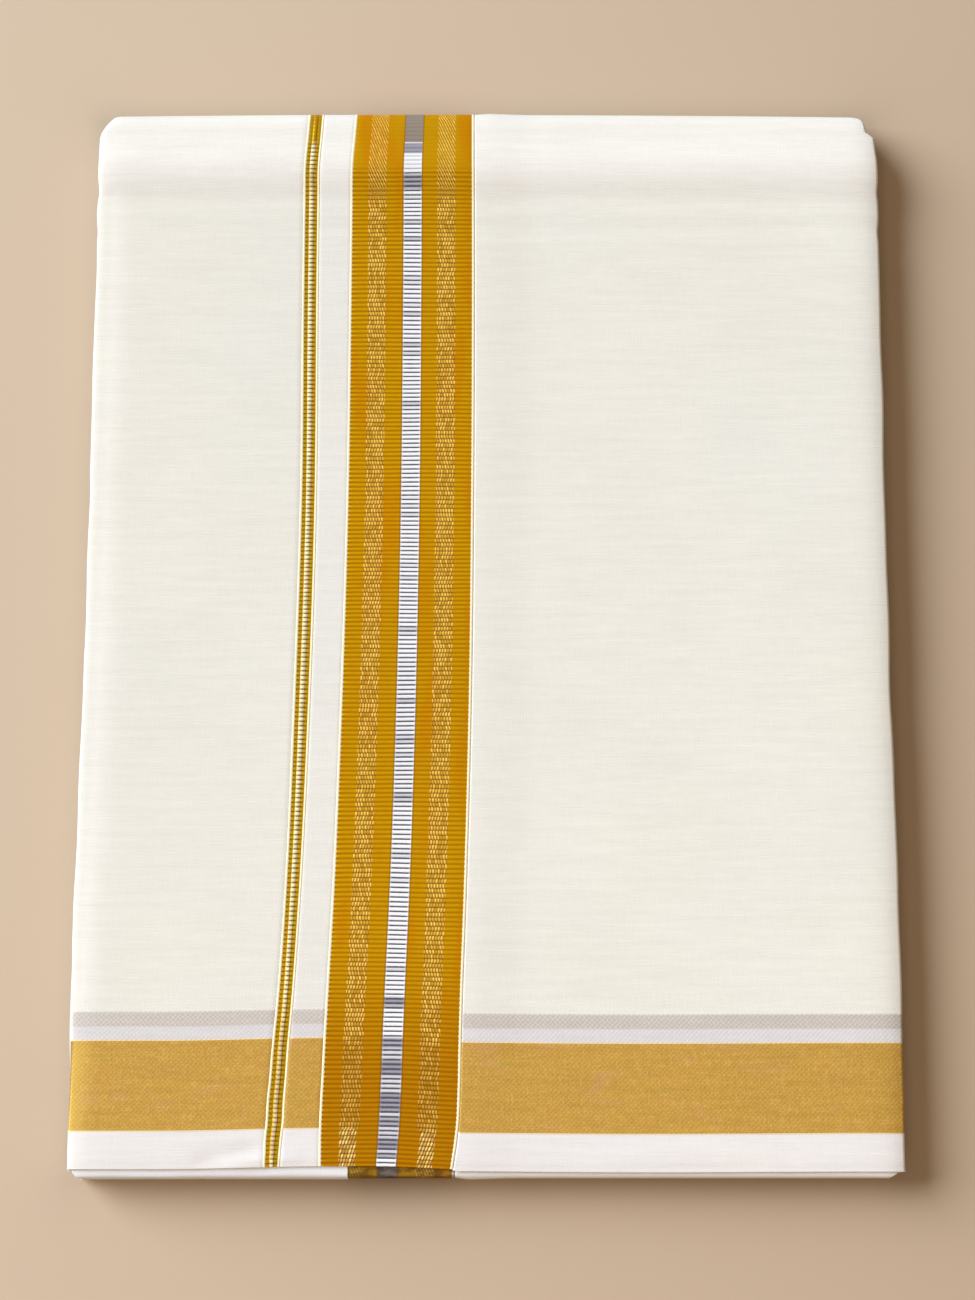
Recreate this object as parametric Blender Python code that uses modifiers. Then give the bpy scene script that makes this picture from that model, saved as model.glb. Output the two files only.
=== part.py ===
"""Dhoti cloth, folded into a flat stack, as separate closed solids.

The cloth is a long unstitched length of fine cotton. It is folded across its width into four, so
that the edge with the wide gold border lies on top as a flap, and the folded strip is then rolled
flat, nine lengths thick. The last length lies on top and ends in the woven end border and the hem
at the near end. It comes over the far end from the underside, and the underside comes round the
near end and is tucked in below the hem.

Frame: +X to the right, +Y to the far end, +Z up, origin at the middle of the underside.
Sizes are in millimetres, and the meshes are made in metres. Every stretch of cloth is a path in
the YZ plane that runs as the cloth does: along the top to the far end, over it, back below, and
up round the near end. A depth is measured from that path into the stack.
"""
import math

import bmesh
import bpy
import numpy as np

METRES = 0.001

# The folded stack
STACK_HEIGHT = 16.4
END_Y = 217.0
HEM_EDGE_Y = -214.4
FAR_ROUND = 11.0
NEAR_ROUND = 9.0
ROUND_POWER = 2.4
CORNER_RADIUS = 7.0

# Walls of the outer cloth: the flap, the panel below it, and the seams between pieces
WALL = 1.0
SEAM = 0.3
FLAP_DEPTH = WALL + SEAM
PAIR_DEPTH = 2.0 * FLAP_DEPTH
OPEN_PANEL_DEPTH = 0.6
STEP_WIDTH = 6.0
STEP_SHARES = (0.05, 0.5, 1.0)

# The folded edges of the flap and the panel
FOLD_THICKNESS = 2.0 * WALL + SEAM
FOLD_REACH = 5.0
EDGE_REACHES = (22.0, 12.0, 6.5)
HALF_ROUND_STEPS = 4

# Woven end border of the top length
HEM_WIDTH = 14.0
END_BAND_WIDTH = 35.0
END_STRIPE_WIDTH = 10.8

# Ribs of the wide border
RIB_PITCH = 1.8
RIB_HEIGHT = 0.25
RIBS_PER_CHUNK = 2

# Relief of the top length
BOLSTER_Y = 191.0
BOLSTER_RISE = 1.1
BOLSTER_SPREAD = 10.0
TROUGHS = (
    # middle y, depth, spread, share of the depth that is left at the left edge
    (177.0, 0.40, 5.0, 1.0),
    (164.0, 0.30, 4.0, 0.3),
)
LEFT_EDGE_DROP = 0.8
LEFT_DROP_SPREAD = 6.0
RIGHT_EDGE_DROP = 0.6
RIGHT_DROP_SPREAD = 4.0
HEM_DROOP = 0.8
HEM_DROOP_START_Y = -206.0

# The stretch that is tucked in below the hem
NEAR_TOP = STACK_HEIGHT - PAIR_DEPTH - 0.5
TUCK_END_Y = -190.0
TUCK_SLOPE_END_Y = -176.0

# Seams between the stretches
TOP_SEAM_Y = 185.0
FAR_SEAM_Y = 200.0
NEAR_SEAM_Y = -202.0

# Folded edges of the stack
FOLD_LINES = (
    # y, left edge x, right edge x
    (-217.0, -158.8, 159.1),
    (-140.0, -159.2, 159.2),
    (75.0, -157.9, 158.6),
    (217.0, -158.4, 158.9),
)

# Borders on the flap of the top length, which drift to the left towards the hem
TOP_BORDERS = (
    # y, narrow border's middle x, its width, wide border's middle x, its width
    (-214.4, -81.4, 6.6, -37.8, 52.0),
    (-200.0, -80.7, 6.9, -36.5, 54.0),
    (-150.0, -77.1, 6.6, -35.1, 52.8),
    (-111.0, -74.7, 6.4, -33.5, 51.6),
    (-32.0, -72.1, 6.2, -31.3, 50.7),
    (49.0, -70.6, 5.9, -30.1, 49.9),
    (133.0, -70.9, 5.9, -29.8, 49.8),
    (217.0, -71.0, 5.8, -29.9, 49.6),
)

# Borders on the lengths below it
HIDDEN_BORDERS = (
    # y, narrow border's middle x, its width, wide border's middle x, its width
    (-217.0, -74.0, 6.0, -34.8, 50.4),
    (-120.0, -73.5, 6.0, -33.0, 50.4),
    (60.0, -72.5, 5.9, -31.0, 50.0),
    (217.0, -71.0, 5.8, -29.9, 49.6),
)

# Layered edges of the hidden lengths, from the outermost fold to the middle of the stack
LAYERS = (
    # crest beyond the fold line at the left, at the right, wander along the stack, its phase
    (0.4, 0.2, 0.25, 0.0),
    (-0.3, 0.4, 0.35, 1.9),
    (0.2, -0.2, 0.30, 4.1),
)
LAYER_VALLEY = 1.4
WANDER_LENGTH = 120.0
LAYER_PROFILE = (
    # share of the layer's thickness, share of the crest that is reached there
    (0.0, 0.0),
    (0.18, 0.75),
    (0.5, 1.0),
    (0.82, 0.75),
)

# Stations along the stack
CORE_STATIONS = (
    -208, -199, -189, -183, -176, -150, -111, -72, -32, 9, 49, 91, 133, 157, 164, 170, 177, 184,
    191, 198, 206,
)
FIELD_STATIONS = (-111, -72, -32, 9, 49, 91, 133, 157, 164, 170, 177)
FAR_STATIONS = (188, 191, 198)
UNDERSIDE_STATIONS = (60, -60, -120)
ARC_STEP = 15.0

# Finishes: name, colour, roughness, metallic
COTTON = ("cotton", (0.86, 0.84, 0.78), 0.85, 0.0)
COTTON_BETWEEN = ("cotton_between_borders", (0.84, 0.85, 0.84), 0.8, 0.0)
COTTON_HEM = ("cotton_hem", (0.88, 0.87, 0.84), 0.85, 0.0)
GOLD_WIDE = ("gold_wide_border", (0.56, 0.28, 0.03), 0.4, 0.7)
GOLD_NARROW = ("gold_narrow_border", (0.72, 0.48, 0.16), 0.45, 0.5)
GOLD_TISSUE = ("gold_end_band", (0.62, 0.38, 0.10), 0.5, 0.5)
SILVER_STRIPE = ("silver_end_stripe", (0.66, 0.64, 0.62), 0.5, 0.4)


class Path:
    """A stretch of cloth seen from its side: its points and its inward normals."""

    def __init__(self, y, z, inward_y, inward_z):
        self.y = np.asarray(y, float)
        self.z = np.broadcast_to(np.asarray(z, float), self.y.shape)
        self.inward_y = np.broadcast_to(np.asarray(inward_y, float), self.y.shape)
        self.inward_z = np.broadcast_to(np.asarray(inward_z, float), self.y.shape)

    def then(self, other):
        """Return this stretch followed by another."""
        return Path(
            np.concatenate([self.y, other.y]),
            np.concatenate([self.z, other.z]),
            np.concatenate([self.inward_y, other.inward_y]),
            np.concatenate([self.inward_z, other.inward_z]),
        )

    def resampled(self, pitch):
        """Return the same stretch in equal steps, two of them to each pitch."""
        run = np.concatenate([[0.0], np.cumsum(np.hypot(np.diff(self.y), np.diff(self.z)))])
        wanted = np.linspace(0.0, run[-1], 2 * round(run[-1] / pitch) + 1)
        inward_y = np.interp(wanted, run, self.inward_y)
        inward_z = np.interp(wanted, run, self.inward_z)
        length = np.hypot(inward_y, inward_z)
        return Path(
            np.interp(wanted, run, self.y),
            np.interp(wanted, run, self.z),
            inward_y / length,
            inward_z / length,
        )


def ramp(start, end, value):
    """Rise from 0 at start to 1 at end, level at both."""
    share = np.clip((value - start) / (end - start), 0.0, 1.0)
    return share * share * (3.0 - 2.0 * share)


def read_table(table, column, y):
    """Read a column of a table over y, on a smooth curve through its rows."""
    rows = np.array(table)
    knots = rows[:, 0]
    values = rows[:, column]
    slopes = np.gradient(values, knots)
    y = np.clip(y, knots[0], knots[-1])
    cell = np.clip(np.searchsorted(knots, y) - 1, 0, len(knots) - 2)
    span = knots[cell + 1] - knots[cell]
    share = (y - knots[cell]) / span
    start = (1.0 + 2.0 * share) * (1.0 - share) ** 2 * values[cell]
    end = share ** 2 * (3.0 - 2.0 * share) * values[cell + 1]
    start_pull = share * (1.0 - share) ** 2 * span * slopes[cell]
    end_pull = share ** 2 * (share - 1.0) * span * slopes[cell + 1]
    return start + end + start_pull + end_pull


def top_path(y):
    """Return the top length at the given places."""
    return Path(y, STACK_HEIGHT, 0.0, -1.0)


def underside_path(y):
    """Return the length that the stack rests on."""
    return Path(y, 0.0, 0.0, 1.0)


def tuck_path(y):
    """Return the stretch that is tucked in below the hem."""
    return Path(y, NEAR_TOP, 0.0, -1.0)


def round_path(reach, height, angles):
    """Return a turn round an end at y = 0, a superellipse from the top, 90 degrees, downwards."""
    angles = np.radians(angles)
    across = np.abs(np.cos(angles)) ** (2.0 / ROUND_POWER)
    up = np.sign(np.sin(angles)) * np.abs(np.sin(angles)) ** (2.0 / ROUND_POWER)
    half = height / 2.0
    slope_y = across ** (ROUND_POWER - 1.0) / reach
    slope_z = np.sign(up) * np.abs(up) ** (ROUND_POWER - 1.0) / half
    length = np.hypot(slope_y, slope_z)
    return Path(reach * across, half + half * up, -slope_y / length, -slope_z / length)


def far_path(angles):
    """Return the turn over the far end, from 90 degrees at the top to -90 at the underside."""
    turn = round_path(FAR_ROUND, STACK_HEIGHT, angles)
    return Path(END_Y - FAR_ROUND + turn.y, turn.z, turn.inward_y, turn.inward_z)


def near_path(angles):
    """Return the turn round the near end, from -90 degrees at the underside to 90 at the tuck."""
    turn = round_path(NEAR_ROUND, NEAR_TOP, angles)
    return Path(NEAR_ROUND - END_Y - turn.y, turn.z, -turn.inward_y, turn.inward_z)


def corner_inset(y):
    """Return how far the folded edges draw in near the ends, as round corners in plan."""
    past = np.clip(np.abs(y) - (END_Y - CORNER_RADIUS), 0.0, CORNER_RADIUS)
    return CORNER_RADIUS - np.sqrt(CORNER_RADIUS ** 2 - past ** 2)


def left_fold(y):
    """Return the left folded edge of the stack."""
    return read_table(FOLD_LINES, 1, y) + corner_inset(y)


def right_fold(y):
    """Return the right folded edge of the stack."""
    return read_table(FOLD_LINES, 2, y) - corner_inset(y)


def relief(x, y):
    """Return how far the top of the stack rises or sinks at a place of its plan."""
    height = BOLSTER_RISE * np.exp(-((y - BOLSTER_Y) / BOLSTER_SPREAD) ** 2)
    across = ramp(-160.0, 60.0, x)
    for middle, depth, spread, left_share in TROUGHS:
        share = left_share + (1.0 - left_share) * across
        height = height - share * depth * np.exp(-((y - middle) / spread) ** 2)
    left_gap = np.maximum(x - read_table(FOLD_LINES, 1, y), 0.0)
    right_gap = np.maximum(read_table(FOLD_LINES, 2, y) - x, 0.0)
    height = height - LEFT_EDGE_DROP * np.exp(-left_gap / LEFT_DROP_SPREAD)
    return height - RIGHT_EDGE_DROP * np.exp(-right_gap / RIGHT_DROP_SPREAD)


def place(path, x, depth):
    """Return the points at the given x and depth, one row of them for each station of a path."""
    y = path.y[:, None] + depth * path.inward_y[:, None]
    z = path.z[:, None] + depth * path.inward_z[:, None]
    upward = np.clip(-path.inward_z, 0.0, 1.0)[:, None]
    z = z + upward * relief(x, y)
    on_top = upward * (path.z[:, None] > NEAR_TOP)
    droop = HEM_DROOP * np.clip((HEM_DROOP_START_Y - y) / (HEM_DROOP_START_Y - HEM_EDGE_Y), 0, 1)
    return np.stack([x, y, z - on_top * droop], axis=-1)


def panel_depth(path, x, selvedge):
    """Return the panel's depth: below the flap, and nearly level with it past the selvedge."""
    upward = np.clip(-path.inward_z, 0.0, 1.0)[:, None]
    past = ramp(0.0, STEP_WIDTH, x - selvedge)
    return FLAP_DEPTH + (OPEN_PANEL_DEPTH * upward - FLAP_DEPTH) * past


def panel_columns(y, borders):
    """Return the x places of the panel's surface, from the left fold to the right one."""
    left = left_fold(y)
    right = right_fold(y)
    selvedge = border_edges(y, borders)[3]
    columns = [left + FOLD_REACH + SEAM]
    columns += [left + reach for reach in reversed(EDGE_REACHES)]
    columns += [selvedge + share * STEP_WIDTH for share in STEP_SHARES]
    columns += [right - reach for reach in EDGE_REACHES]
    return np.stack(columns, axis=1)


def border_edges(y, borders):
    """Return the left and right edges of the narrow border, and then of the wide one."""
    narrow = read_table(borders, 1, y)
    narrow_half = read_table(borders, 2, y) / 2.0
    wide = read_table(borders, 3, y)
    wide_half = read_table(borders, 4, y) / 2.0
    return narrow - narrow_half, narrow + narrow_half, wide - wide_half, wide + wide_half


def grid_faces(rows, columns, closed_rows=False, closed_columns=False):
    """Return the quads of a grid of points that is stored row by row."""
    row = np.arange(rows if closed_rows else rows - 1)
    column = np.arange(columns if closed_columns else columns - 1)
    row, column = np.meshgrid(row, column, indexing="ij")
    next_row = (row + 1) % rows
    next_column = (column + 1) % columns
    corners = (
        row * columns + column,
        row * columns + next_column,
        next_row * columns + next_column,
        next_row * columns + column,
    )
    return np.stack([corner.ravel() for corner in corners], axis=1).tolist()


def make_mesh(name, points, faces):
    """Make a closed mesh in metres with its faces pointing out."""
    mesh = bpy.data.meshes.new(name)
    mesh.from_pydata((points * METRES).reshape(-1, 3).tolist(), [], faces)
    build = bmesh.new()
    build.from_mesh(mesh)
    bmesh.ops.remove_doubles(build, verts=build.verts, dist=1e-6)
    bmesh.ops.recalc_face_normals(build, faces=build.faces)
    build.to_mesh(mesh)
    build.free()
    mesh.shade_smooth()
    mesh.set_sharp_from_angle(angle=math.radians(40.0))
    return mesh


def add_part(collection, name, mesh, finish):
    """Add a mesh to the model as a named object with its own finish."""
    label, colour, roughness, metallic = finish
    material = bpy.data.materials.get(label) or bpy.data.materials.new(label)
    material.use_nodes = True
    shader = material.node_tree.nodes["Principled BSDF"]
    shader.inputs["Base Color"].default_value = (*colour, 1.0)
    shader.inputs["Roughness"].default_value = roughness
    shader.inputs["Metallic"].default_value = metallic
    mesh.materials.append(material)
    part = bpy.data.objects.new(name, mesh)
    collection.objects.link(part)
    return part


def add_loft(collection, name, path, columns, finish):
    """Add a closed wall through one closed section of (x, depth) columns at each station."""
    x = np.stack([column[0] for column in columns], axis=1)
    depth = np.stack([np.broadcast_to(column[1], path.y.shape) for column in columns], axis=1)
    count = len(columns)
    last = (len(path.y) - 1) * count
    faces = grid_faces(len(path.y), count, closed_columns=True)
    faces.append(list(range(count)))
    faces.append([last + index for index in range(count)])
    return add_part(collection, name, make_mesh(name, place(path, x, depth), faces), finish)


def add_strip(collection, name, path, left, right, finish):
    """Add a strip of the flap between two edge lines, an open surface with a Solidify wall."""
    x = np.stack([left, right], axis=1)
    points = place(path, x, np.zeros_like(x)) * METRES
    mesh = bpy.data.meshes.new(name)
    mesh.from_pydata(points.reshape(-1, 3).tolist(), [], grid_faces(len(path.y), 2))
    mesh.shade_smooth()
    part = add_part(collection, name, mesh, finish)
    wall = part.modifiers.new("wall", "SOLIDIFY")
    wall.thickness = WALL * METRES
    wall.offset = -1.0
    return part


def add_ribbed_strip(collection, name, path, left, right, finish):
    """Add a strip with ribs raised across its outer side over a plain inside."""
    x = np.stack([left, right], axis=1)
    stations = len(path.y)
    valley = np.where(np.arange(stations) % 2 == 0, RIB_HEIGHT, 0.0)
    outer = place(path, x, np.stack([valley, valley], axis=1))
    kept = np.append(np.arange(0, stations - 1, 2 * RIBS_PER_CHUNK), stations - 1)
    inner = place(path, x, np.full_like(x, WALL))[kept]
    base = 2 * stations
    faces = grid_faces(stations, 2)
    faces += [[base + corner for corner in face] for face in grid_faces(len(kept), 2)]
    for chunk in range(len(kept) - 1):
        for side in (0, 1):
            rim = [2 * station + side for station in range(kept[chunk], kept[chunk + 1] + 1)]
            rim += [base + 2 * (chunk + 1) + side, base + 2 * chunk + side]
            faces.append(rim)
    last_outer = base - 2
    last_inner = base + 2 * (len(kept) - 1)
    faces.append([0, 1, base + 1, base])
    faces.append([last_outer, last_outer + 1, last_inner + 1, last_inner])
    points = np.concatenate([outer.reshape(-1, 3), inner.reshape(-1, 3)])
    return add_part(collection, name, make_mesh(name, points, faces), finish)


def fold_columns(fold, side, depth):
    """Return the section of a folded edge: a half circle, then a lip back along the inner side."""
    radius = FOLD_THICKNESS / 2.0
    columns = []
    for angle in np.linspace(0.0, math.pi, HALF_ROUND_STEPS + 1):
        out = radius * (math.sin(angle) - 1.0)
        columns.append((fold + side * out, depth + radius * (1.0 - math.cos(angle))))
    columns.append((fold - side * FOLD_REACH, depth + FOLD_THICKNESS))
    columns.append((fold - side * FOLD_REACH, depth + WALL))
    return columns


def add_flap_field(collection, name, path, right, finish):
    """Add the flap's plain cloth, from its folded left edge to the narrow border."""
    fold = left_fold(path.y)
    outer = [(right, 0.0)] + [(fold + reach, 0.0) for reach in EDGE_REACHES]
    inner = [(x, WALL) for x, _ in reversed(outer)]
    return add_loft(collection, name, path, outer + fold_columns(fold, -1, 0.0) + inner, finish)


def add_panel(collection, name, path, borders, finish):
    """Add the panel, from its left end below the flap to its folded right edge."""
    x = panel_columns(path.y, borders)
    selvedge = border_edges(path.y, borders)[3][:, None]
    depth = panel_depth(path, x, selvedge)
    outer = [(x[:, column], depth[:, column]) for column in range(x.shape[1])]
    inner = [(place_x, place_depth + WALL) for place_x, place_depth in reversed(outer)]
    fold = fold_columns(right_fold(path.y), 1, depth[:, -1])
    return add_loft(collection, name, path, outer + fold + inner, finish)


def add_plain_cloth(collection, label, path, borders, finish, between):
    """Add the cloth of a stretch beside its borders: flap field, strip between them, panel."""
    narrow_left, narrow_right, wide_left, _ = border_edges(path.y, borders)
    gap = SEAM / 2.0
    add_flap_field(collection, label + "_flap", path, narrow_left - gap, finish)
    add_strip(collection, label + "_strip", path, narrow_right + gap, wide_left - gap, between)
    add_panel(collection, label + "_panel", path, borders, finish)


def add_borders(collection, label, path, borders, ribbed):
    """Add a stretch's narrow border and its wide border, whose right edge is the selvedge."""
    narrow_left, narrow_right, _, _ = border_edges(path.y, borders)
    gap = SEAM / 2.0
    narrow = (narrow_left + gap, narrow_right - gap)
    add_strip(collection, label + "_narrow_border", path, *narrow, GOLD_NARROW)
    if ribbed:
        path = path.resampled(RIB_PITCH)
    _, _, wide_left, selvedge = border_edges(path.y, borders)
    add_wide = add_ribbed_strip if ribbed else add_strip
    add_wide(collection, label + "_wide_border", path, wide_left + gap, selvedge, GOLD_WIDE)


def spaced(start, stations, end):
    """Return stations between two seams, half a seam clear of each."""
    step = math.copysign(SEAM / 2.0, end - start)
    return [start + step, *stations, end - step]


def add_top_length(collection):
    """Add the length on top: hem, gold end band, silver stripe, field, and borders along it."""
    band_y = HEM_EDGE_Y + HEM_WIDTH
    stripe_y = band_y + END_BAND_WIDTH
    field_y = stripe_y + END_STRIPE_WIDTH
    rows = (
        ("hem", HEM_EDGE_Y - SEAM / 2.0, (HEM_DROOP_START_Y,), band_y, COTTON_HEM, COTTON_HEM),
        ("end_band", band_y, (), stripe_y, GOLD_TISSUE, GOLD_TISSUE),
        ("end_stripe", stripe_y, (), field_y, SILVER_STRIPE, SILVER_STRIPE),
        ("top", field_y, FIELD_STATIONS, TOP_SEAM_Y, COTTON, COTTON_BETWEEN),
    )
    for label, start, stations, end, finish, between in rows:
        path = top_path(spaced(start, stations, end))
        add_plain_cloth(collection, label, path, TOP_BORDERS, finish, between)
    stations = (HEM_DROOP_START_Y, band_y, stripe_y, *FIELD_STATIONS)
    path = top_path(spaced(HEM_EDGE_Y - SEAM / 2.0, stations, TOP_SEAM_Y))
    add_borders(collection, "top", path, TOP_BORDERS, ribbed=True)


def add_hidden_lengths(collection):
    """Add the stretches over the far end, below the stack and round the near end."""
    down = np.arange(90.0, -90.1, -ARC_STEP)
    far = top_path([TOP_SEAM_Y + SEAM / 2.0, *FAR_STATIONS]).then(far_path(down))
    far = far.then(underside_path([FAR_SEAM_Y + SEAM / 2.0]))
    below = underside_path(spaced(FAR_SEAM_Y, UNDERSIDE_STATIONS, NEAR_SEAM_Y))
    near = underside_path([NEAR_SEAM_Y - SEAM / 2.0]).then(near_path(-down))
    near = near.then(tuck_path([HEM_DROOP_START_Y, TUCK_END_Y]))
    for label, path, ribbed in (("far", far, True), ("under", below, False), ("near", near, True)):
        add_plain_cloth(collection, label, path, HIDDEN_BORDERS, COTTON, COTTON_BETWEEN)
        add_borders(collection, label, path, HIDDEN_BORDERS, ribbed)


def core_path():
    """Return the closed loop that carries the outer cloth, with a dip for the tucked stretch."""
    y = np.array(CORE_STATIONS, float)
    top = top_path(y)
    top.z = NEAR_TOP + (STACK_HEIGHT - NEAR_TOP) * ramp(TUCK_END_Y + SEAM, TUCK_SLOPE_END_Y, y)
    inner_angles = np.arange(90.0 - ARC_STEP, -89.0, -ARC_STEP)
    loop = top.then(far_path(inner_angles))
    return loop.then(underside_path(y[::-1])).then(near_path(-inner_angles))


def core_columns(path):
    """Return the x places and depths of the hidden layers' outer surface, left to right."""
    x = panel_columns(path.y, HIDDEN_BORDERS)
    selvedge = border_edges(path.y, HIDDEN_BORDERS)[3][:, None]
    depth = panel_depth(path, x, selvedge) + FLAP_DEPTH
    left = left_fold(path.y)[:, None]
    right = right_fold(path.y)[:, None]
    lip = depth[:, -1:] - FLAP_DEPTH + FOLD_THICKNESS + SEAM
    step = np.concatenate([right - FOLD_REACH - 2 * SEAM, right - FOLD_REACH - SEAM], axis=1)
    x = np.concatenate([left + LAYER_VALLEY, x, step, right - LAYER_VALLEY], axis=1)
    depth = np.concatenate([depth[:, :1], depth, depth[:, -1:], lip, lip], axis=1)
    return x, depth


def layered_edge(path, edge, side):
    """Return the rows of points of the layered edge, from the outer surface to the middle."""
    middle_y = np.clip(edge[:, 1], CORE_STATIONS[0], CORE_STATIONS[-1])
    ends = (CORE_STATIONS[0], CORE_STATIONS[-1])
    middle_z = np.interp(middle_y, ends, (NEAR_TOP / 2.0, STACK_HEIGHT / 2.0))
    run = np.concatenate([[0.0], np.cumsum(np.hypot(np.diff(path.y), np.diff(path.z)))])
    rows = []
    for number, layer in enumerate(LAYERS):
        crest = LAYER_VALLEY + layer[0 if side < 0 else 1]
        crest = crest + layer[2] * np.sin(2.0 * math.pi * run / WANDER_LENGTH + layer[3] + side)
        for share, reached in LAYER_PROFILE:
            inward = (number + share) / len(LAYERS)
            y = edge[:, 1] + inward * (middle_y - edge[:, 1])
            z = edge[:, 2] + inward * (middle_z - edge[:, 2])
            fold = left_fold(y) if side < 0 else right_fold(y)
            rows.append(np.stack([fold + side * (reached * crest - LAYER_VALLEY), y, z], axis=-1))
    fold = left_fold(middle_y) if side < 0 else right_fold(middle_y)
    rows.append(np.stack([fold - side * LAYER_VALLEY, middle_y, middle_z], axis=-1))
    return rows


def add_hidden_layers(collection):
    """Add the hidden lengths as one rounded solid with layered edges."""
    path = core_path()
    x, depth = core_columns(path)
    outer = place(path, x, depth)
    left = layered_edge(path, outer[:, 0], -1)
    right = layered_edge(path, outer[:, -1], 1)
    rows = left[::-1] + [outer[:, column] for column in range(1, outer.shape[1] - 1)] + right
    points = np.stack(rows, axis=1)
    faces = grid_faces(len(path.y), len(rows), closed_rows=True)
    mesh = make_mesh("hidden_layers", points, faces)
    return add_part(collection, "hidden_layers", mesh, COTTON)


def main():
    """Clear the scene and model the folded cloth."""
    for old in list(bpy.data.objects):
        bpy.data.objects.remove(old, do_unlink=True)
    collection = bpy.data.collections.new("folded_dhoti_cloth")
    bpy.context.scene.collection.children.link(collection)
    add_top_length(collection)
    add_hidden_lengths(collection)
    add_hidden_layers(collection)


main()
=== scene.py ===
"""Folded dhoti cloth: its woven surfaces, zari borders and layered edges, with light and camera.

Frame: +X to the right, +Y to the far end, +Z up, origin at the middle of the underside. Forms are
worked out in millimetres and made in metres.

The outer length of cloth is one path in the YZ plane. It starts at the hem at the near end, runs
along the top, goes over the far end, back below the stack and up round the near end, where it is
tucked in below the hem. Each piece of it is a grid: stations along that path, and columns across
the cloth. A depth is measured from the path into the stack.
"""
import logging
import math
from collections.abc import Callable
from dataclasses import dataclass
from enum import Enum
from functools import cached_property, partialmethod

import bmesh
import bpy
import numpy as np
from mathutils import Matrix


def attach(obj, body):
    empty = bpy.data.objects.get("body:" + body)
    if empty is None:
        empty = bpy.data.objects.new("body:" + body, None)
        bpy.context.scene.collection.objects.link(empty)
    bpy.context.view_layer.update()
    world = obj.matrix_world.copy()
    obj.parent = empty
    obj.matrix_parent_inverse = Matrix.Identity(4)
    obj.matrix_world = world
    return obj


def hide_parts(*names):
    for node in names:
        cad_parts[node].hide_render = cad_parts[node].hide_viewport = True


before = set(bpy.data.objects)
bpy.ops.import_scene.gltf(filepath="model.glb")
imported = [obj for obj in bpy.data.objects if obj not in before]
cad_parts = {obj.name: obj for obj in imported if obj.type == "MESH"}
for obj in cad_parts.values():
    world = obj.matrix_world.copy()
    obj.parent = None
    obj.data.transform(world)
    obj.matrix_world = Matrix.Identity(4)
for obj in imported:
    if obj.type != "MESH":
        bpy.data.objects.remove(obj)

LOG = logging.getLogger("folded_dhoti")
METRES = 0.001
BODY = "root"
CLOTH_MAP = "cloth"

Grid = np.ndarray
Pair = tuple[float, float]
Triple = tuple[float, float, float]
Colour = Triple
Numbers = tuple[float, ...]
Table = tuple[Numbers, ...]
Names = tuple[str, ...]
Piece = bpy.types.Object
Material = bpy.types.Material
Tree = bpy.types.NodeTree

# drifts of a border's ribs: mm along for a radian, radians for a mm across, phase, amount in mm
RIB_DRIFTS: Table = ((12.4, 0.0, 0.2, 0.38), (41.0, 0.0, 0.3, 1.3), (19.0, 0.14, 0.0, 0.09))
# noise that makes a weave uneven: its scale and detail, and its radians
WEAVE_DRIFT: Triple = (0.35, 3.0, 12.0)
# stretch, across and along, of the noise of the weft's slubs, of the warp's and of broad ones
SLUB_STRETCH: Table = ((0.13, 1.4), (1.4, 0.13), (0.03, 0.4))
# distance along the cloth where the borders start to get darker towards the hem, and where fully
BESIDE_HEM = (90.0, 30.0)
# how softly a band of wear along a border starts and ends, in mm
BAND_SOFTNESS = 1.2


class Side(Enum):
    """A side of the stack; its value is the sign of the way out along X."""

    LEFT = -1
    RIGHT = 1


def ramp(start: float, end: float, value: Grid) -> Grid:
    """Smooth rise: 0 at start, 1 at end, 3s^2 - 2s^3 between them, level at both."""
    share = np.clip((value - start) / (end - start), 0.0, 1.0)
    return share * share * (3.0 - 2.0 * share)


def read_table(table: Table, column: int, y: Grid) -> Grid:
    """Read a column of a table on a smooth curve through its rows.

    The curve between two rows is a cubic Hermite with the slopes of the rows beside them.

    Args:
        table: rows of (y, value, value, ...), in rising order of y.
        column: the column that is read.
        y: the places where it is read.

    Returns:
        The values at y, held level past the first and last rows.
    """
    rows = np.array(table)
    knots, values = rows[:, 0], rows[:, column]
    slopes = np.gradient(values, knots)
    y = np.clip(y, knots[0], knots[-1])
    cell = np.clip(np.searchsorted(knots, y) - 1, 0, len(knots) - 2)
    span = knots[cell + 1] - knots[cell]
    share = (y - knots[cell]) / span
    level = (1.0 + 2.0 * share) * (1.0 - share) ** 2 * values[cell]
    level = level + share**2 * (3.0 - 2.0 * share) * values[cell + 1]
    pull = share * (1.0 - share) ** 2 * slopes[cell] + share**2 * (share - 1.0) * slopes[cell + 1]
    return level + pull * span


def spans(*parts: Triple) -> Grid:
    """Join even stations over parts of (start, end, step), which follow on one another.

    Args:
        parts: the parts.

    Returns:
        The stations.
    """
    runs = [
        np.linspace(start, end, max(1, round((end - start) / step)), endpoint=False)
        for start, end, step in parts
    ]
    return np.concatenate([*runs, [parts[-1][1]]])


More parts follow.
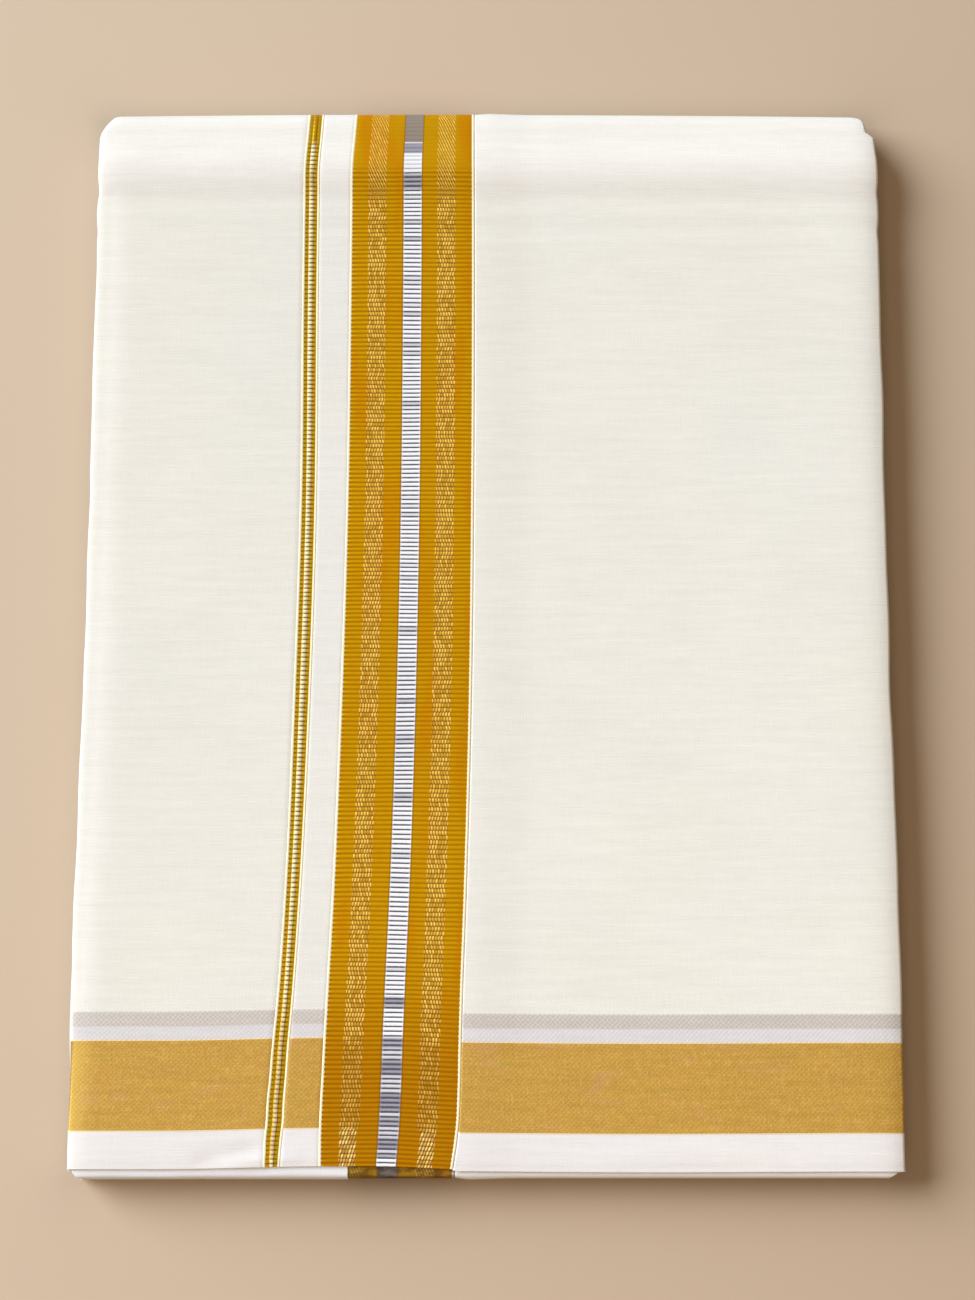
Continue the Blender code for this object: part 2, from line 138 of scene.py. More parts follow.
@dataclass(frozen=True)
class ClothPath:
    """A stretch of the outer length seen from its side, with the inward normal at each station."""

    run: Grid
    y: Grid
    z: Grid
    inward_y: Grid
    inward_z: Grid

    def at(self, run: Grid) -> "ClothPath":
        """Read the path at distances along the cloth from the hem's edge.

        Args:
            run: the distances.

        Returns:
            The stations there, on straight lines between the points of this path.
        """
        y, z, inward_y, inward_z = (
            np.interp(run, self.run, values)
            for values in (self.y, self.z, self.inward_y, self.inward_z)
        )
        length = np.hypot(inward_y, inward_z)
        return ClothPath(run, y, z, inward_y / length, inward_z / length)

    @property
    def upward(self) -> Grid:
        """How far the outer side faces up, as a column beside the stations: 1 on top, 0 below."""
        return np.clip(-self.inward_z, 0.0, 1.0)[:, None]

    @property
    def downward(self) -> Grid:
        """How far the outer side faces down, as a column beside the stations."""
        return np.clip(self.inward_z, 0.0, 1.0)[:, None]


def rib_place(across: Grid, along: Grid) -> Grid:
    """Distance along the cloth with the slow drifts and the sway of a border's ribs.

    Args:
        across: distance across the cloth.
        along: distance along it.

    Returns:
        The distance that the ribs are counted by.
    """
    place = along
    for over_along, over_across, phase, amount in RIB_DRIFTS:
        place = place + amount * np.sin(along / over_along + phase + across * over_across)
    return place


@dataclass(frozen=True)
class Crease:
    """A soft trough or ridge along a line in plan, which fades out at both ends."""

    start: Pair
    end: Pair
    rise: float
    spread: float
    # share of its length over which it fades at each end
    fade: float = 0.3

    def height(self, x: Grid, y: Grid) -> Grid:
        """Rise times exp(-(distance from the line / spread)^2), faded along the line.

        Args:
            x: places in plan.
            y: the same.

        Returns:
            The rise there.
        """
        along_x, along_y = self.end[0] - self.start[0], self.end[1] - self.start[1]
        length2 = along_x**2 + along_y**2
        share = ((x - self.start[0]) * along_x + (y - self.start[1]) * along_y) / length2
        share = np.clip(share, 0.0, 1.0)
        gap2 = (x - self.start[0] - share * along_x) ** 2
        gap2 = gap2 + (y - self.start[1] - share * along_y) ** 2
        fade = ramp(0.0, self.fade, share) * ramp(1.0, 1.0 - self.fade, share)
        return self.rise * fade * np.exp(-gap2 / self.spread**2)


@dataclass(frozen=True)
class StackForm:
    """Form of the folded stack: its ends, folded edges, borders and the relief of its top."""

    height: float = 16.4
    far_y: float = 216.0
    near_y: float = -217.0
    hem_edge_y: float = -214.4
    far_round: float = 11.0
    near_round: float = 9.0
    # power of the turn's superellipse above its middle, and below it
    far_powers: Pair = (2.4, 2.4)
    near_powers: Pair = (12.0, 3.0)
    near_corner: float = 2.6
    # the wrapped end is drawn in: how far on the left, how many times that on the right, and y
    # where it starts and where it is whole; cloth is wrapped from this far past the far turn on
    wrap_inset: float = 1.5
    wrap_right: float = 1.6
    wrap_y: Pair = (-198.0, -209.0)
    wrapped_past: float = 40.0
    near_top: float = 14.6
    tuck_end_y: float = -190.0
    tuck_slope_end_y: float = -176.0
    hem_droop: float = 0.4
    hem_droop_start_y: float = -211.0
    bolster_y: float = 191.0
    bolster_rise: float = 1.6
    bolster_spread: float = 10.0
    # middle y, depth, spread, share of the depth that is left at the left edge; x where that
    # share starts to grow and where the depth is whole
    troughs: Table = ((177.0, 0.40, 5.0, 1.0), (164.0, 0.30, 4.0, 0.3))
    trough_x: Pair = (-160.0, 60.0)
    # folded edge: drop of the top there, how far the drop spreads
    left_drop: Pair = (0.7, 5.0)
    right_drop: Pair = (1.1, 4.2)
    # y, left edge x, right edge x
    fold_lines: Table = (
        (-217.0, -158.8, 159.9), (-140.0, -159.2, 160.2), (75.0, -157.9, 159.8),
        (150.0, -158.1, 160.3), (217.0, -158.4, 160.5),
    )
    # y, how far in the far corners of the left and right folded edges are
    far_corners: Table = (
        (191.0, 0.0, 0.0), (196.0, 0.2, 0.1), (199.0, 0.3, 0.4), (204.0, 0.4, 0.8),
        (205.4, 0.6, 1.1), (206.2, 0.8, 2.6), (207.0, 1.1, 3.8), (208.5, 1.9, 4.1),
        (210.5, 3.0, 4.4), (213.0, 4.6, 5.0), (214.5, 5.6, 6.2), (216.0, 7.5, 9.5),
    )
    # y, narrow border's middle x, its width, wide border's middle x, its width
    top_borders: Table = (
        (-214.4, -81.3, 6.5, -37.9, 51.0), (-204.0, -80.8, 7.1, -37.15, 52.6),
        (-196.7, -80.1, 7.3, -36.7, 53.3), (-192.0, -79.95, 7.3, -36.5, 53.4),
        (-187.5, -79.7, 7.2, -36.35, 53.4), (-182.9, -79.3, 7.1, -36.15, 53.3),
        (-170.0, -78.5, 6.9, -35.8, 53.0), (-153.0, -77.1, 6.7, -35.2, 52.6),
        (-111.0, -74.7, 6.6, -33.5, 52.1), (-32.0, -72.1, 7.0, -31.3, 51.6),
        (49.0, -70.6, 6.9, -30.1, 50.8), (133.0, -70.9, 6.8, -29.8, 50.7),
        (217.0, -71.0, 6.6, -29.9, 50.5),
    )
    lower_borders: Table = (
        (-217.0, -76.4, 6.8, -37.3, 51.0), (-190.0, -75.0, 6.8, -35.6, 51.3),
        (-120.0, -73.5, 6.8, -33.0, 51.3), (60.0, -72.5, 6.7, -31.0, 50.9),
        (217.0, -71.0, 6.6, -29.9, 50.5),
    )
    # how far the borders lean right at the far end, and y where that starts and is whole
    far_lean: float = 1.5
    far_lean_y: Pair = (186.0, 215.0)
    # how much farther in the far end is at its corners, middle x and half width of its bow, and
    # y where that starts and is whole
    far_bow: Triple = (1.0, -5.0, 152.0)
    far_bow_y: Pair = (120.0, 210.0)
    # y, rise of the left and of the right edge, spread of places pinched or pushed out
    edge_pinches: Table = (
        (181.0, -0.55, -0.45, 3.2), (163.5, -0.25, -0.40, 3.2), (-120.0, 0.3, 0.3, 30.0),
        (-28.0, -0.25, -0.25, 22.0), (96.0, 0.2, 0.2, 18.0),
    )
    # mm for a radian, phase, amount of the folded edges' waver
    edge_wavers: Table = ((13.0, 1.0, 0.12), (7.3, 2.0, 0.10))
    creases: tuple[Crease, ...] = (
        Crease((-150.0, 128.0), (-84.0, 121.0), -0.10, 6.0),
        Crease((60.0, 150.0), (156.0, 157.0), -0.14, 5.0),
        Crease((10.0, 96.0), (120.0, 108.0), -0.09, 9.0),
        Crease((40.0, 12.0), (150.0, 4.0), -0.08, 12.0),
        Crease((-140.0, -8.0), (-88.0, -14.0), -0.07, 9.0),
        Crease((6.0, -70.0), (96.0, -84.0), -0.09, 12.0),
        Crease((90.0, -128.0), (150.0, -120.0), -0.08, 8.0),
        Crease((-150.0, -118.0), (-92.0, -126.0), 0.07, 10.0),
        Crease((20.0, 60.0), (34.0, -40.0), 0.08, 14.0),
        Crease((-120.0, 90.0), (-112.0, -40.0), 0.07, 12.0),
        Crease((118.0, 60.0), (106.0, -60.0), 0.06, 15.0),
        Crease((-114.0, -211.5), (-82.0, -205.5), -0.42, 2.6),
        Crease((-104.0, -214.0), (-66.0, -208.5), 0.28, 2.4),
        Crease((30.0, -211.0), (120.0, -208.0), 0.10, 3.5),
    )

    @property
    def far_top_run(self) -> float:
        """Distance along the cloth from the hem's edge to the start of the far end's turn."""
        return self.far_y - self.far_round - self.hem_edge_y

    def turn(self, side: float, count: int = 121) -> tuple[Grid, Grid, Grid, Grid]:
        """Work out the turn round an end, from its top down to its underside.

        It is half a superellipse: |y / reach|^p + |z / half|^p = 1, with z from the middle of the
        height. The normal is the gradient of that sum.

        Args:
            side: 1 for the far end, -1 for the near end.
            count: how many stations it has.

        Returns:
            y, z and the inward normal's y and z.
        """
        is_far = side > 0.0
        angles = np.radians(np.linspace(90.0, -90.0, count))
        power = np.where(angles > 0.0, *(self.far_powers if is_far else self.near_powers))
        reach = self.far_round if is_far else self.near_round
        half = (self.height if is_far else self.near_top) / 2.0
        tip = self.far_y if is_far else self.near_y
        across = np.abs(np.cos(angles)) ** (2.0 / power)
        up = np.sign(np.sin(angles)) * np.abs(np.sin(angles)) ** (2.0 / power)
        slope_y = across ** (power - 1.0) / reach
        slope_z = np.sign(up) * np.abs(up) ** (power - 1.0) / half
        length = np.hypot(slope_y, slope_z)
        y = tip + side * reach * (across - 1.0)
        return y, half + half * up, -side * slope_y / length, -slope_z / length

    def outer_length(self) -> ClothPath:
        """Join the top, the far turn, the underside, the near turn and the tuck into one path.

        Returns:
            The path.
        """
        start = ([self.hem_edge_y], [self.height], [0.0], [-1.0])
        end = ([self.tuck_end_y], [self.near_top], [0.0], [-1.0])
        near = [part[::-1] for part in self.turn(-1.0)]
        parts = zip(start, self.turn(1.0), near, end)
        y, z, inward_y, inward_z = (np.concatenate(part) for part in parts)
        run = np.concatenate([[0.0], np.cumsum(np.hypot(np.diff(y), np.diff(z)))])
        return ClothPath(run, y, z, inward_y, inward_z)

    def fold_line(self, side: Side, y: Grid) -> Grid:
        """X of a folded edge: its table, round corners in plan, pinches and a slight waver.

        Args:
            side: which edge.
            y: where it is read.

        Returns:
            X there.
        """
        radius = self.near_corner
        past = np.clip(self.near_y + radius - y, 0.0, radius)
        column = 1 if side is Side.LEFT else 2
        inset = radius - np.sqrt(radius**2 - past**2) + read_table(self.far_corners, column, y)
        line = read_table(self.fold_lines, column, y)
        waver = np.zeros_like(y)
        for length, phase, amount in self.edge_wavers:
            waver = waver + amount * np.sin(y / length + phase * side.value)
        for middle, *rises, spread in self.edge_pinches:
            waver = waver + rises[column - 1] * np.exp(-(((y - middle) / spread) ** 2))
        return line + side.value * (waver - inset)

    def border_edges(self, path: ClothPath) -> tuple[Grid, Grid, Grid, Grid]:
        """Find the borders' edges, whose drift differs on the top length and below it.

        Args:
            path: the stations.

        Returns:
            The x of the narrow border's left and right edges and of the wide border's, each as a
            column beside the stations.
        """
        is_top = path.run <= self.far_top_run + self.far_round
        tables = (self.top_borders, self.lower_borders)
        narrow, narrow_width, wide, wide_width = (
            np.where(is_top, *(read_table(table, column, path.y) for table in tables))[:, None]
            for column in (1, 2, 3, 4)
        )
        lean = self.far_lean * ramp(*self.far_lean_y, path.y)[:, None]
        return (
            narrow - narrow_width / 2.0 + lean,
            narrow + narrow_width / 2.0 + lean,
            wide - wide_width / 2.0 + lean,
            wide + wide_width / 2.0,
        )

    def relief(self, x: Grid, y: Grid) -> Grid:
        """Rise of the top: a bolster, troughs beside it, dropped folded edges and creases.

        Each bolster and trough is a Gaussian over y, and each edge drop decays with the distance
        from the fold.

        Args:
            x: places in plan.
            y: the same.

        Returns:
            The rise there.
        """
        height = self.bolster_rise * np.exp(-(((y - self.bolster_y) / self.bolster_spread) ** 2))
        across = ramp(*self.trough_x, x)
        for middle, depth, spread, left_share in self.troughs:
            share = left_share + (1.0 - left_share) * across
            height = height - share * depth * np.exp(-(((y - middle) / spread) ** 2))
        for side, (drop, reach) in ((1, self.left_drop), (2, self.right_drop)):
            gap = x - read_table(self.fold_lines, side, y)
            gap = np.maximum(gap if side == 1 else -gap, 0.0)
            height = height - drop * np.exp(-gap / reach)
        for crease in self.creases:
            height = height + crease.height(x, y)
        return height

    def place(self, path: ClothPath, x: Grid, depth: Grid, shift_y: Grid | float = 0.0) -> Grid:
        """Put columns of cloth on the stack.

        A point is the path's station moved in by its depth; where the cloth faces up it also
        takes the relief, and the hem droops. The far end bows, so that its corners lie farther in.

        Args:
            path: the stations, one for each row.
            x: the columns' x at each row.
            depth: the columns' depth below the path.
            shift_y: how far each point is moved along the top.

        Returns:
            The points, (rows, columns, 3).
        """
        bow, middle, half = self.far_bow
        reached = ramp(*self.far_bow_y, path.y)[:, None]
        shift_y = shift_y - bow * ((x - middle) / half) ** 2 * reached
        y = path.y[:, None] + depth * path.inward_y[:, None] + shift_y
        z = path.z[:, None] + depth * path.inward_z[:, None]
        z = z + path.upward * self.relief(x, y)
        on_top = path.upward * (path.z[:, None] > self.near_top + 0.1)
        start = self.hem_droop_start_y
        droop = self.hem_droop * np.clip((start - y) / (start - self.hem_edge_y), 0.0, 1.2)
        return np.stack([x, y, z - on_top * droop], axis=-1)


class MeshDraft:
    """A mesh in the making: closed shells of points with their place on the cloth."""

    def __init__(self) -> None:
        """Start an empty mesh."""
        self.points: list[Grid] = []
        self.cloth: list[Grid] = []
        self.faces: list[Grid] = []
        self.count = 0

    def add_shell(self, outer: Grid, inner: Grid, across: Grid, along: Grid) -> None:
        """Add a closed shell: an outer grid, an inner one turned round, and a rim between them.

        Rows run along the cloth and columns leftwards on top, so that the cross product of the
        two points outwards.

        Args:
            outer: the outer points, (rows, columns, 3).
            inner: the inner points behind them.
            across: distance across the cloth at each point.
            along: distance along the cloth at each point.
        """
        rows, columns = outer.shape[:2]
        index = np.arange(rows * columns).reshape(rows, columns)
        corners = (index[:-1, :-1], index[1:, :-1], index[1:, 1:], index[:-1, 1:])
        skin = np.stack(corners, axis=-1).reshape(-1, 4)
        first_row, last_row = index[0, -2:0:-1], index[-1, 1:]
        loop = np.concatenate([index[:, 0], last_row, index[-2::-1, -1], first_row])
        after = np.roll(loop, -1)
        behind = rows * columns
        rim = np.stack([after, loop, loop + behind, after + behind], axis=-1)
        faces = np.concatenate([skin, skin[:, ::-1] + behind, rim])
        self.points += [outer.reshape(-1, 3), inner.reshape(-1, 3)]
        place = np.stack(np.broadcast_arrays(across, along), axis=-1).reshape(-1, 2)
        self.cloth += [place, place]
        self.faces.append(faces + self.count)
        self.count += 2 * behind

    def make(self, name: str, sharp_degrees: float = 55.0) -> Piece:
        """Make the object, smooth shaded, with the cloth map in millimetres.

        Args:
            name: the object's name.
            sharp_degrees: edges that turn more than this stay sharp.

        Returns:
            The object, linked to the scene.
        """
        mesh = bpy.data.meshes.new(name)
        points = np.concatenate(self.points) * METRES
        faces = np.concatenate(self.faces)
        mesh.from_pydata(points.tolist(), [], faces.tolist())
        layer = mesh.uv_layers.new(name=CLOTH_MAP)
        place = np.concatenate(self.cloth)[faces.ravel()]
        layer.uv.foreach_set("vector", place.astype(np.float32).ravel())
        return link_mesh(name, mesh, sharp_degrees)


def link(name: str, data: bpy.types.ID) -> Piece:
    """Make an object of its data and link it to the scene.

    Args:
        name: the object's name.
        data: its mesh, light or camera.

    Returns:
        The object.
    """
    thing = bpy.data.objects.new(name, data)
    bpy.context.scene.collection.objects.link(thing)
    return thing


def link_mesh(name: str, mesh: bpy.types.Mesh, sharp_degrees: float) -> Piece:
    """Shade a mesh smoothly up to an angle and link it to the scene as an object.

    Args:
        name: the object's name.
        mesh: its mesh.
        sharp_degrees: edges that turn more than this stay sharp.

    Returns:
        The object.
    """
    mesh.shade_smooth()
    mesh.set_sharp_from_angle(angle=math.radians(sharp_degrees))
    return link(name, mesh)


def outward(points: Grid) -> Grid:
    """Unit normals of a grid: the cross product of its row and column directions."""
    normal = np.cross(np.gradient(points, axis=0), np.gradient(points, axis=1))
    return normal / np.linalg.norm(normal, axis=-1, keepdims=True)


# ---- Threads: values in a node tree, and the node groups that finishes share ----


def feed(node: bpy.types.Node, feeds: dict[int | str, "Feed"]) -> None:
    """Give each input of a node a plain value, or link it to a value of the node's tree.

    Args:
        node: the node.
        feeds: what each input gets.
    """
    for key, value in feeds.items():
        if isinstance(value, Value):
            node.id_data.links.new(value.socket, node.inputs[key])
        else:
            node.inputs[key].default_value = value


def add_node(
    tree: Tree, kind: str, feeds: dict[int | str, "Feed"], **settings: object
) -> bpy.types.Node:
    """Add a node.

    Args:
        tree: the node tree.
        kind: the node's type.
        feeds: what each input gets.
        settings: the node's own settings.

    Returns:
        The node.
    """
    node = tree.nodes.new(kind)
    for name, value in settings.items():
        setattr(node, name, value)
    feed(node, feeds)
    return node


def source(tree: Tree, kind: str, output: str, **settings: object) -> "Value":
    """Add a node that reads something, and give one of its outputs."""
    return Value(add_node(tree, kind, {}, **settings).outputs[output])


def opaque(colour: "Feed") -> "Feed":
    """Give a plain colour its alpha; a value of the tree stays as it is."""
    return (*colour, 1.0) if isinstance(colour, tuple) else colour


class Value:
    """A value, vector or colour in a node tree; what is done with it adds nodes to the tree."""

    def __init__(self, socket: bpy.types.NodeSocket) -> None:
        """Take the socket that gives the value."""
        self.socket = socket

    def node(self, kind: str, feeds: dict, output: int = 0, **settings: object) -> "Value":
        """Add a node to this value's tree, and give one of its outputs."""
        return Value(add_node(self.socket.id_data, kind, feeds, **settings).outputs[output])

    def math(self, operation: str, *others: "Feed") -> "Value":
        """Add a Math node on this value and the others."""
        return self.node("ShaderNodeMath", dict(enumerate((self, *others))), operation=operation)

    def __rsub__(self, other: float) -> "Value":
        """Difference from a number."""
        return self.node("ShaderNodeMath", {0: other, 1: self}, operation="SUBTRACT")

    __add__ = partialmethod(math, "ADD")
    __sub__ = partialmethod(math, "SUBTRACT")
    __mul__ = partialmethod(math, "MULTIPLY")
    __truediv__ = partialmethod(math, "DIVIDE")
    # multiply by a factor, then add some more
    times = partialmethod(math, "MULTIPLY_ADD")
    sine = partialmethod(math, "SINE")
    cosine = partialmethod(math, "COSINE")
    size = partialmethod(math, "ABSOLUTE")
    floor = partialmethod(math, "FLOOR")
    fraction = partialmethod(math, "FRACT")
    # from 0 up to another value and back down, over and over
    pingpong = partialmethod(math, "PINGPONG")
    larger = partialmethod(math, "MAXIMUM")
    smaller = partialmethod(math, "MINIMUM")
    below = partialmethod(math, "LESS_THAN")

    def step(self, start: "Feed", end: "Feed") -> "Value":
        """Rise smoothly from 0 at start to 1 at end."""
        feeds = {0: self, 1: start, 2: end, 3: 0.0, 4: 1.0}
        return self.node("ShaderNodeMapRange", feeds, interpolation_type="SMOOTHSTEP")

    def spread(self, low: "Feed", high: "Feed") -> "Value":
        """Take 0 to 1 linearly to low to high."""
        feeds = {0: self, 1: 0.0, 2: 1.0, 3: low, 4: high}
        return self.node("ShaderNodeMapRange", feeds, clamp=False)

    def zone(self, start: "Feed", end: "Feed", soft: float = 0.2) -> "Value":
        """Mask of the places from start to end, with soft edges."""
        return ZONE.place(self, start, end, soft)[0]

    def blend(self, first: "Feed", second: "Feed") -> "Value":
        """Mix two values by this share."""
        return self.node("ShaderNodeMix", {0: self, 2: first, 3: second}, data_type="FLOAT")

    def mix(self, first: "Feed", second: "Feed") -> "Value":
        """Mix two colours by this share."""
        feeds = {0: self, 6: opaque(first), 7: opaque(second)}
        return self.node("ShaderNodeMix", feeds, 2, data_type="RGBA")

    def shade(self, colour: "Feed") -> "Value":
        """Multiply a colour by this value.

        Args:
            colour: the colour.

        Returns:
            The shaded colour.
        """
        grey = self.node("ShaderNodeCombineColor", {0: self, 1: self, 2: self})
        feeds = {0: 1.0, 6: opaque(colour), 7: grey}
        return self.node("ShaderNodeMix", feeds, 2, data_type="RGBA", blend_type="MULTIPLY")

    def vector(self, y: "Feed", z: "Feed" = 0.0) -> "Value":
        """Make a vector with this value as its x."""
        return self.node("ShaderNodeCombineXYZ", {0: self, 1: y, 2: z})

    def split(self) -> tuple["Value", ...]:
        """Split this vector into its three values."""
        node = add_node(self.socket.id_data, "ShaderNodeSeparateXYZ", {0: self})
        return tuple(Value(socket) for socket in node.outputs)

    def scaled(self, x: float, y: float, z: float = 1.0) -> "Value":
        """Stretch this vector."""
        feeds = {0: self, 1: (x, y, z)}
        return self.node("ShaderNodeVectorMath", feeds, operation="MULTIPLY")

    def noise(self, scale: float = 1.0, detail: float = 2.0) -> "Value":
        """Smooth noise from 0 to 1 over this vector."""
        feeds = {"Vector": self, "Scale": scale, "Detail": detail}
        return self.node("ShaderNodeTexNoise", feeds)

    def speck(self, other: "Feed") -> "Value":
        """White noise from 0 to 1, one value for each pair of this value and another or a seed."""
        return self.node("ShaderNodeTexWhiteNoise", {0: self.vector(other)})


Feed = float | tuple | Value
Values = tuple[Value, ...]


@dataclass(frozen=True)
class ThreadGroup:
    """A node group that finishes share, built when it is first placed.

    Each input has a default, None for a vector, and fill makes the outputs from the inputs.
    """

    name: str
    inputs: dict[str, float | None]
    outputs: Names
    fill: Callable[..., Values]

    @cached_property
    def tree(self) -> Tree:
        """The group's own tree.

        Returns:
            The tree, with its sockets and nodes.
        """
        tree = bpy.data.node_groups.new(self.name, "ShaderNodeTree")
        for label, default in self.inputs.items():
            kind = "NodeSocketVector" if default is None else "NodeSocketFloat"
            socket = tree.interface.new_socket(label, in_out="INPUT", socket_type=kind)
            if default is not None:
                socket.default_value = default
        for label in self.outputs:
            tree.interface.new_socket(label, in_out="OUTPUT", socket_type="NodeSocketFloat")
        given = add_node(tree, "NodeGroupInput", {})
        values = self.fill(*(Value(given.outputs[label]) for label in self.inputs))
        add_node(tree, "NodeGroupOutput", dict(zip(self.outputs, values)))
        return tree

    def place(self, first: Value, *others: Feed) -> Values:
        """Place the group in the tree of its first feed, and give its outputs.

        Args:
            first: what the first input gets.
            others: what the others get.

        Returns:
            The outputs.
        """
        feeds = dict(enumerate((first, *others)))
        node = add_node(first.socket.id_data, "ShaderNodeGroup", feeds, node_tree=self.tree)
        return tuple(Value(socket) for socket in node.outputs)


def fill_zone(place: Value, start: Value, end: Value, soft: Value) -> Values:
    """Mask of a stripe: 1 between two places, with soft edges of the given width.

    Args:
        place: where it is read.
        start: where the stripe starts.
        end: where it ends.
        soft: width of its edges.

    Returns:
        The mask.
    """
    half = soft * 0.5
    rise, fall = (place.step(edge - half, edge + half) for edge in (start, end))
    return (rise - fall,)


def fill_ribs(across: Value, along: Value, pitch: Value) -> Values:
    """Ribs across the cloth: crest 0 to 1 as a raised cosine, the row's number, its share.

    The distance along the cloth drifts and sways as rib_place gives it.

    Args:
        across: distance across the cloth.
        along: distance along it.
        pitch: distance from rib to rib.

    Returns:
        The crest, the row's number and the share of the row.
    """
    place = along
    for over_along, over_across, phase, amount in RIB_DRIFTS:
        angle = across.times(over_across, along.times(1.0 / over_along, phase))
        place = angle.sine().times(amount, place)
    rows = place / pitch
    share = rows.fraction()
    return (share * math.tau).cosine().times(-0.5, 0.5), rows.floor(), share


def fill_weave(cloth: Value, across: Value, along: Value, uneven: Value) -> Values:
    """Plain weave: threads over and under as a product of sines, made uneven by noise.

    Args:
        cloth: place on the cloth.
        across: pitch of the warp.
        along: pitch of the weft.
        uneven: how uneven the threads are.

    Returns:
        Whether the weft lies over, 0 to 1, and the threads' roundness.
    """
    scale, detail, radians = WEAVE_DRIFT
    drift = (cloth.noise(scale, detail) - 0.5) * (uneven * radians)
    places = zip(cloth.split(), (across, along))
    first, second = ((place / pitch * math.pi + drift).sine() for place, pitch in places)
    return (first * second).times(0.5, 0.5), first.size() * second.size()


def fill_slubs(cloth: Value, weft: Value, warp: Value) -> Values:
    """Thicker and thinner threads: noise drawn out along the weft and, less, the warp.

    Args:
        cloth: place on the cloth.
        weft: unevenness of the weft.
        warp: unevenness of the warp.

    Returns:
        The shade, about 1, and the threads' height.
    """
    *sizes, broad_size = SLUB_STRETCH
    fine, upright = (cloth.scaled(*size).noise() for size in sizes)
    broad = cloth.scaled(*broad_size).noise(1.0, 1.0)
    shade = (fine + broad - 1.0) * (weft * 4.0) + (upright - 0.5) * (warp * 4.0) + 1.0
    return shade, fine + upright


ZONE = ThreadGroup(
    "stripe_zone", {"Place": 0.0, "From": 0.0, "To": 1.0, "Soft": 0.2}, ("Mask",), fill_zone
)
RIBS = ThreadGroup(
    "weft_ribs", {"Across": 0.0, "Along": 0.0, "Pitch": 1.8}, ("Crest", "Row", "Share"), fill_ribs
)
WEAVE = ThreadGroup(
    "plain_weave",
    {"Cloth": None, "Across": 0.7, "Along": 0.7, "Uneven": 0.25},
    ("Over", "Thread"),
    fill_weave,
)
SLUBS = ThreadGroup(
    "slubs", {"Cloth": None, "Weft": 0.02, "Warp": 0.01}, ("Shade", "Height"), fill_slubs
)


@dataclass(frozen=True)
class Patches:
    """Soft patches on the cloth: noise stretched across and along it, then cut off."""

    across: float
    along: float
    # noise where a patch starts, and where it is whole
    start: float
    whole: float
    scale: float = 1.0

    def mask(self, cloth: Value) -> Value:
        """Mask of the patches."""
        return cloth.scaled(self.across, self.along).noise(self.scale).step(self.start, self.whole)


def bands(along: Value, table: Table) -> Feed:
    """Sum soft bands along the cloth, each with the amount that its row gives.

    Args:
        along: distance along the cloth.
        table: rows of (from, to, amount).

    Returns:
        The sum.
    """
    total: Feed = 0.0
    for start, end, amount in table:
        total = along.zone(start, end, BAND_SOFTNESS).times(amount, total)
    return total


@dataclass(frozen=True)
class Look:
    """What a finish feeds its shader, and the relief of its threads, 0 to 1."""

    colour: Value
    roughness: Feed
    metallic: Feed
    height: Value


@dataclass(frozen=True)
class Finish:
    """What every cloth finish shares: its name, the shader's fixed settings and the relief."""

    name: str
    sheen: float = 0.12
    sheen_roughness: float = 0.45
    specular: float = 0.25
    # height of the threads' relief
    bump: float = 0.035

    def where(self, tree: Tree) -> Value:
        """Place on the cloth in millimetres across and along, from its map."""
        return source(tree, "ShaderNodeUVMap", "UV", uv_map=CLOTH_MAP)

    def look(self, cloth: Value) -> Look:
        """Each finish says what it looks like at a place on the cloth."""
        raise NotImplementedError

    def material(self) -> Material:
        """Build the material: its shader gets the fixed settings and the look.

        Returns:
            The material.
        """
        material = bpy.data.materials.new(self.name)
        material.use_nodes = True
        look = self.look(self.where(material.node_tree))
        relief = {"Height": look.height, "Strength": 1.0, "Distance": self.bump * METRES}
        feeds = {
            "Base Color": look.colour,
            "Roughness": look.roughness,
            "Metallic": look.metallic,
            "Normal": look.height.node("ShaderNodeBump", relief),
            "Sheen Weight": self.sheen,
            "Sheen Roughness": self.sheen_roughness,
            "Specular IOR Level": self.specular,
        }
        feed(material.node_tree.nodes["Principled BSDF"], feeds)
        return material


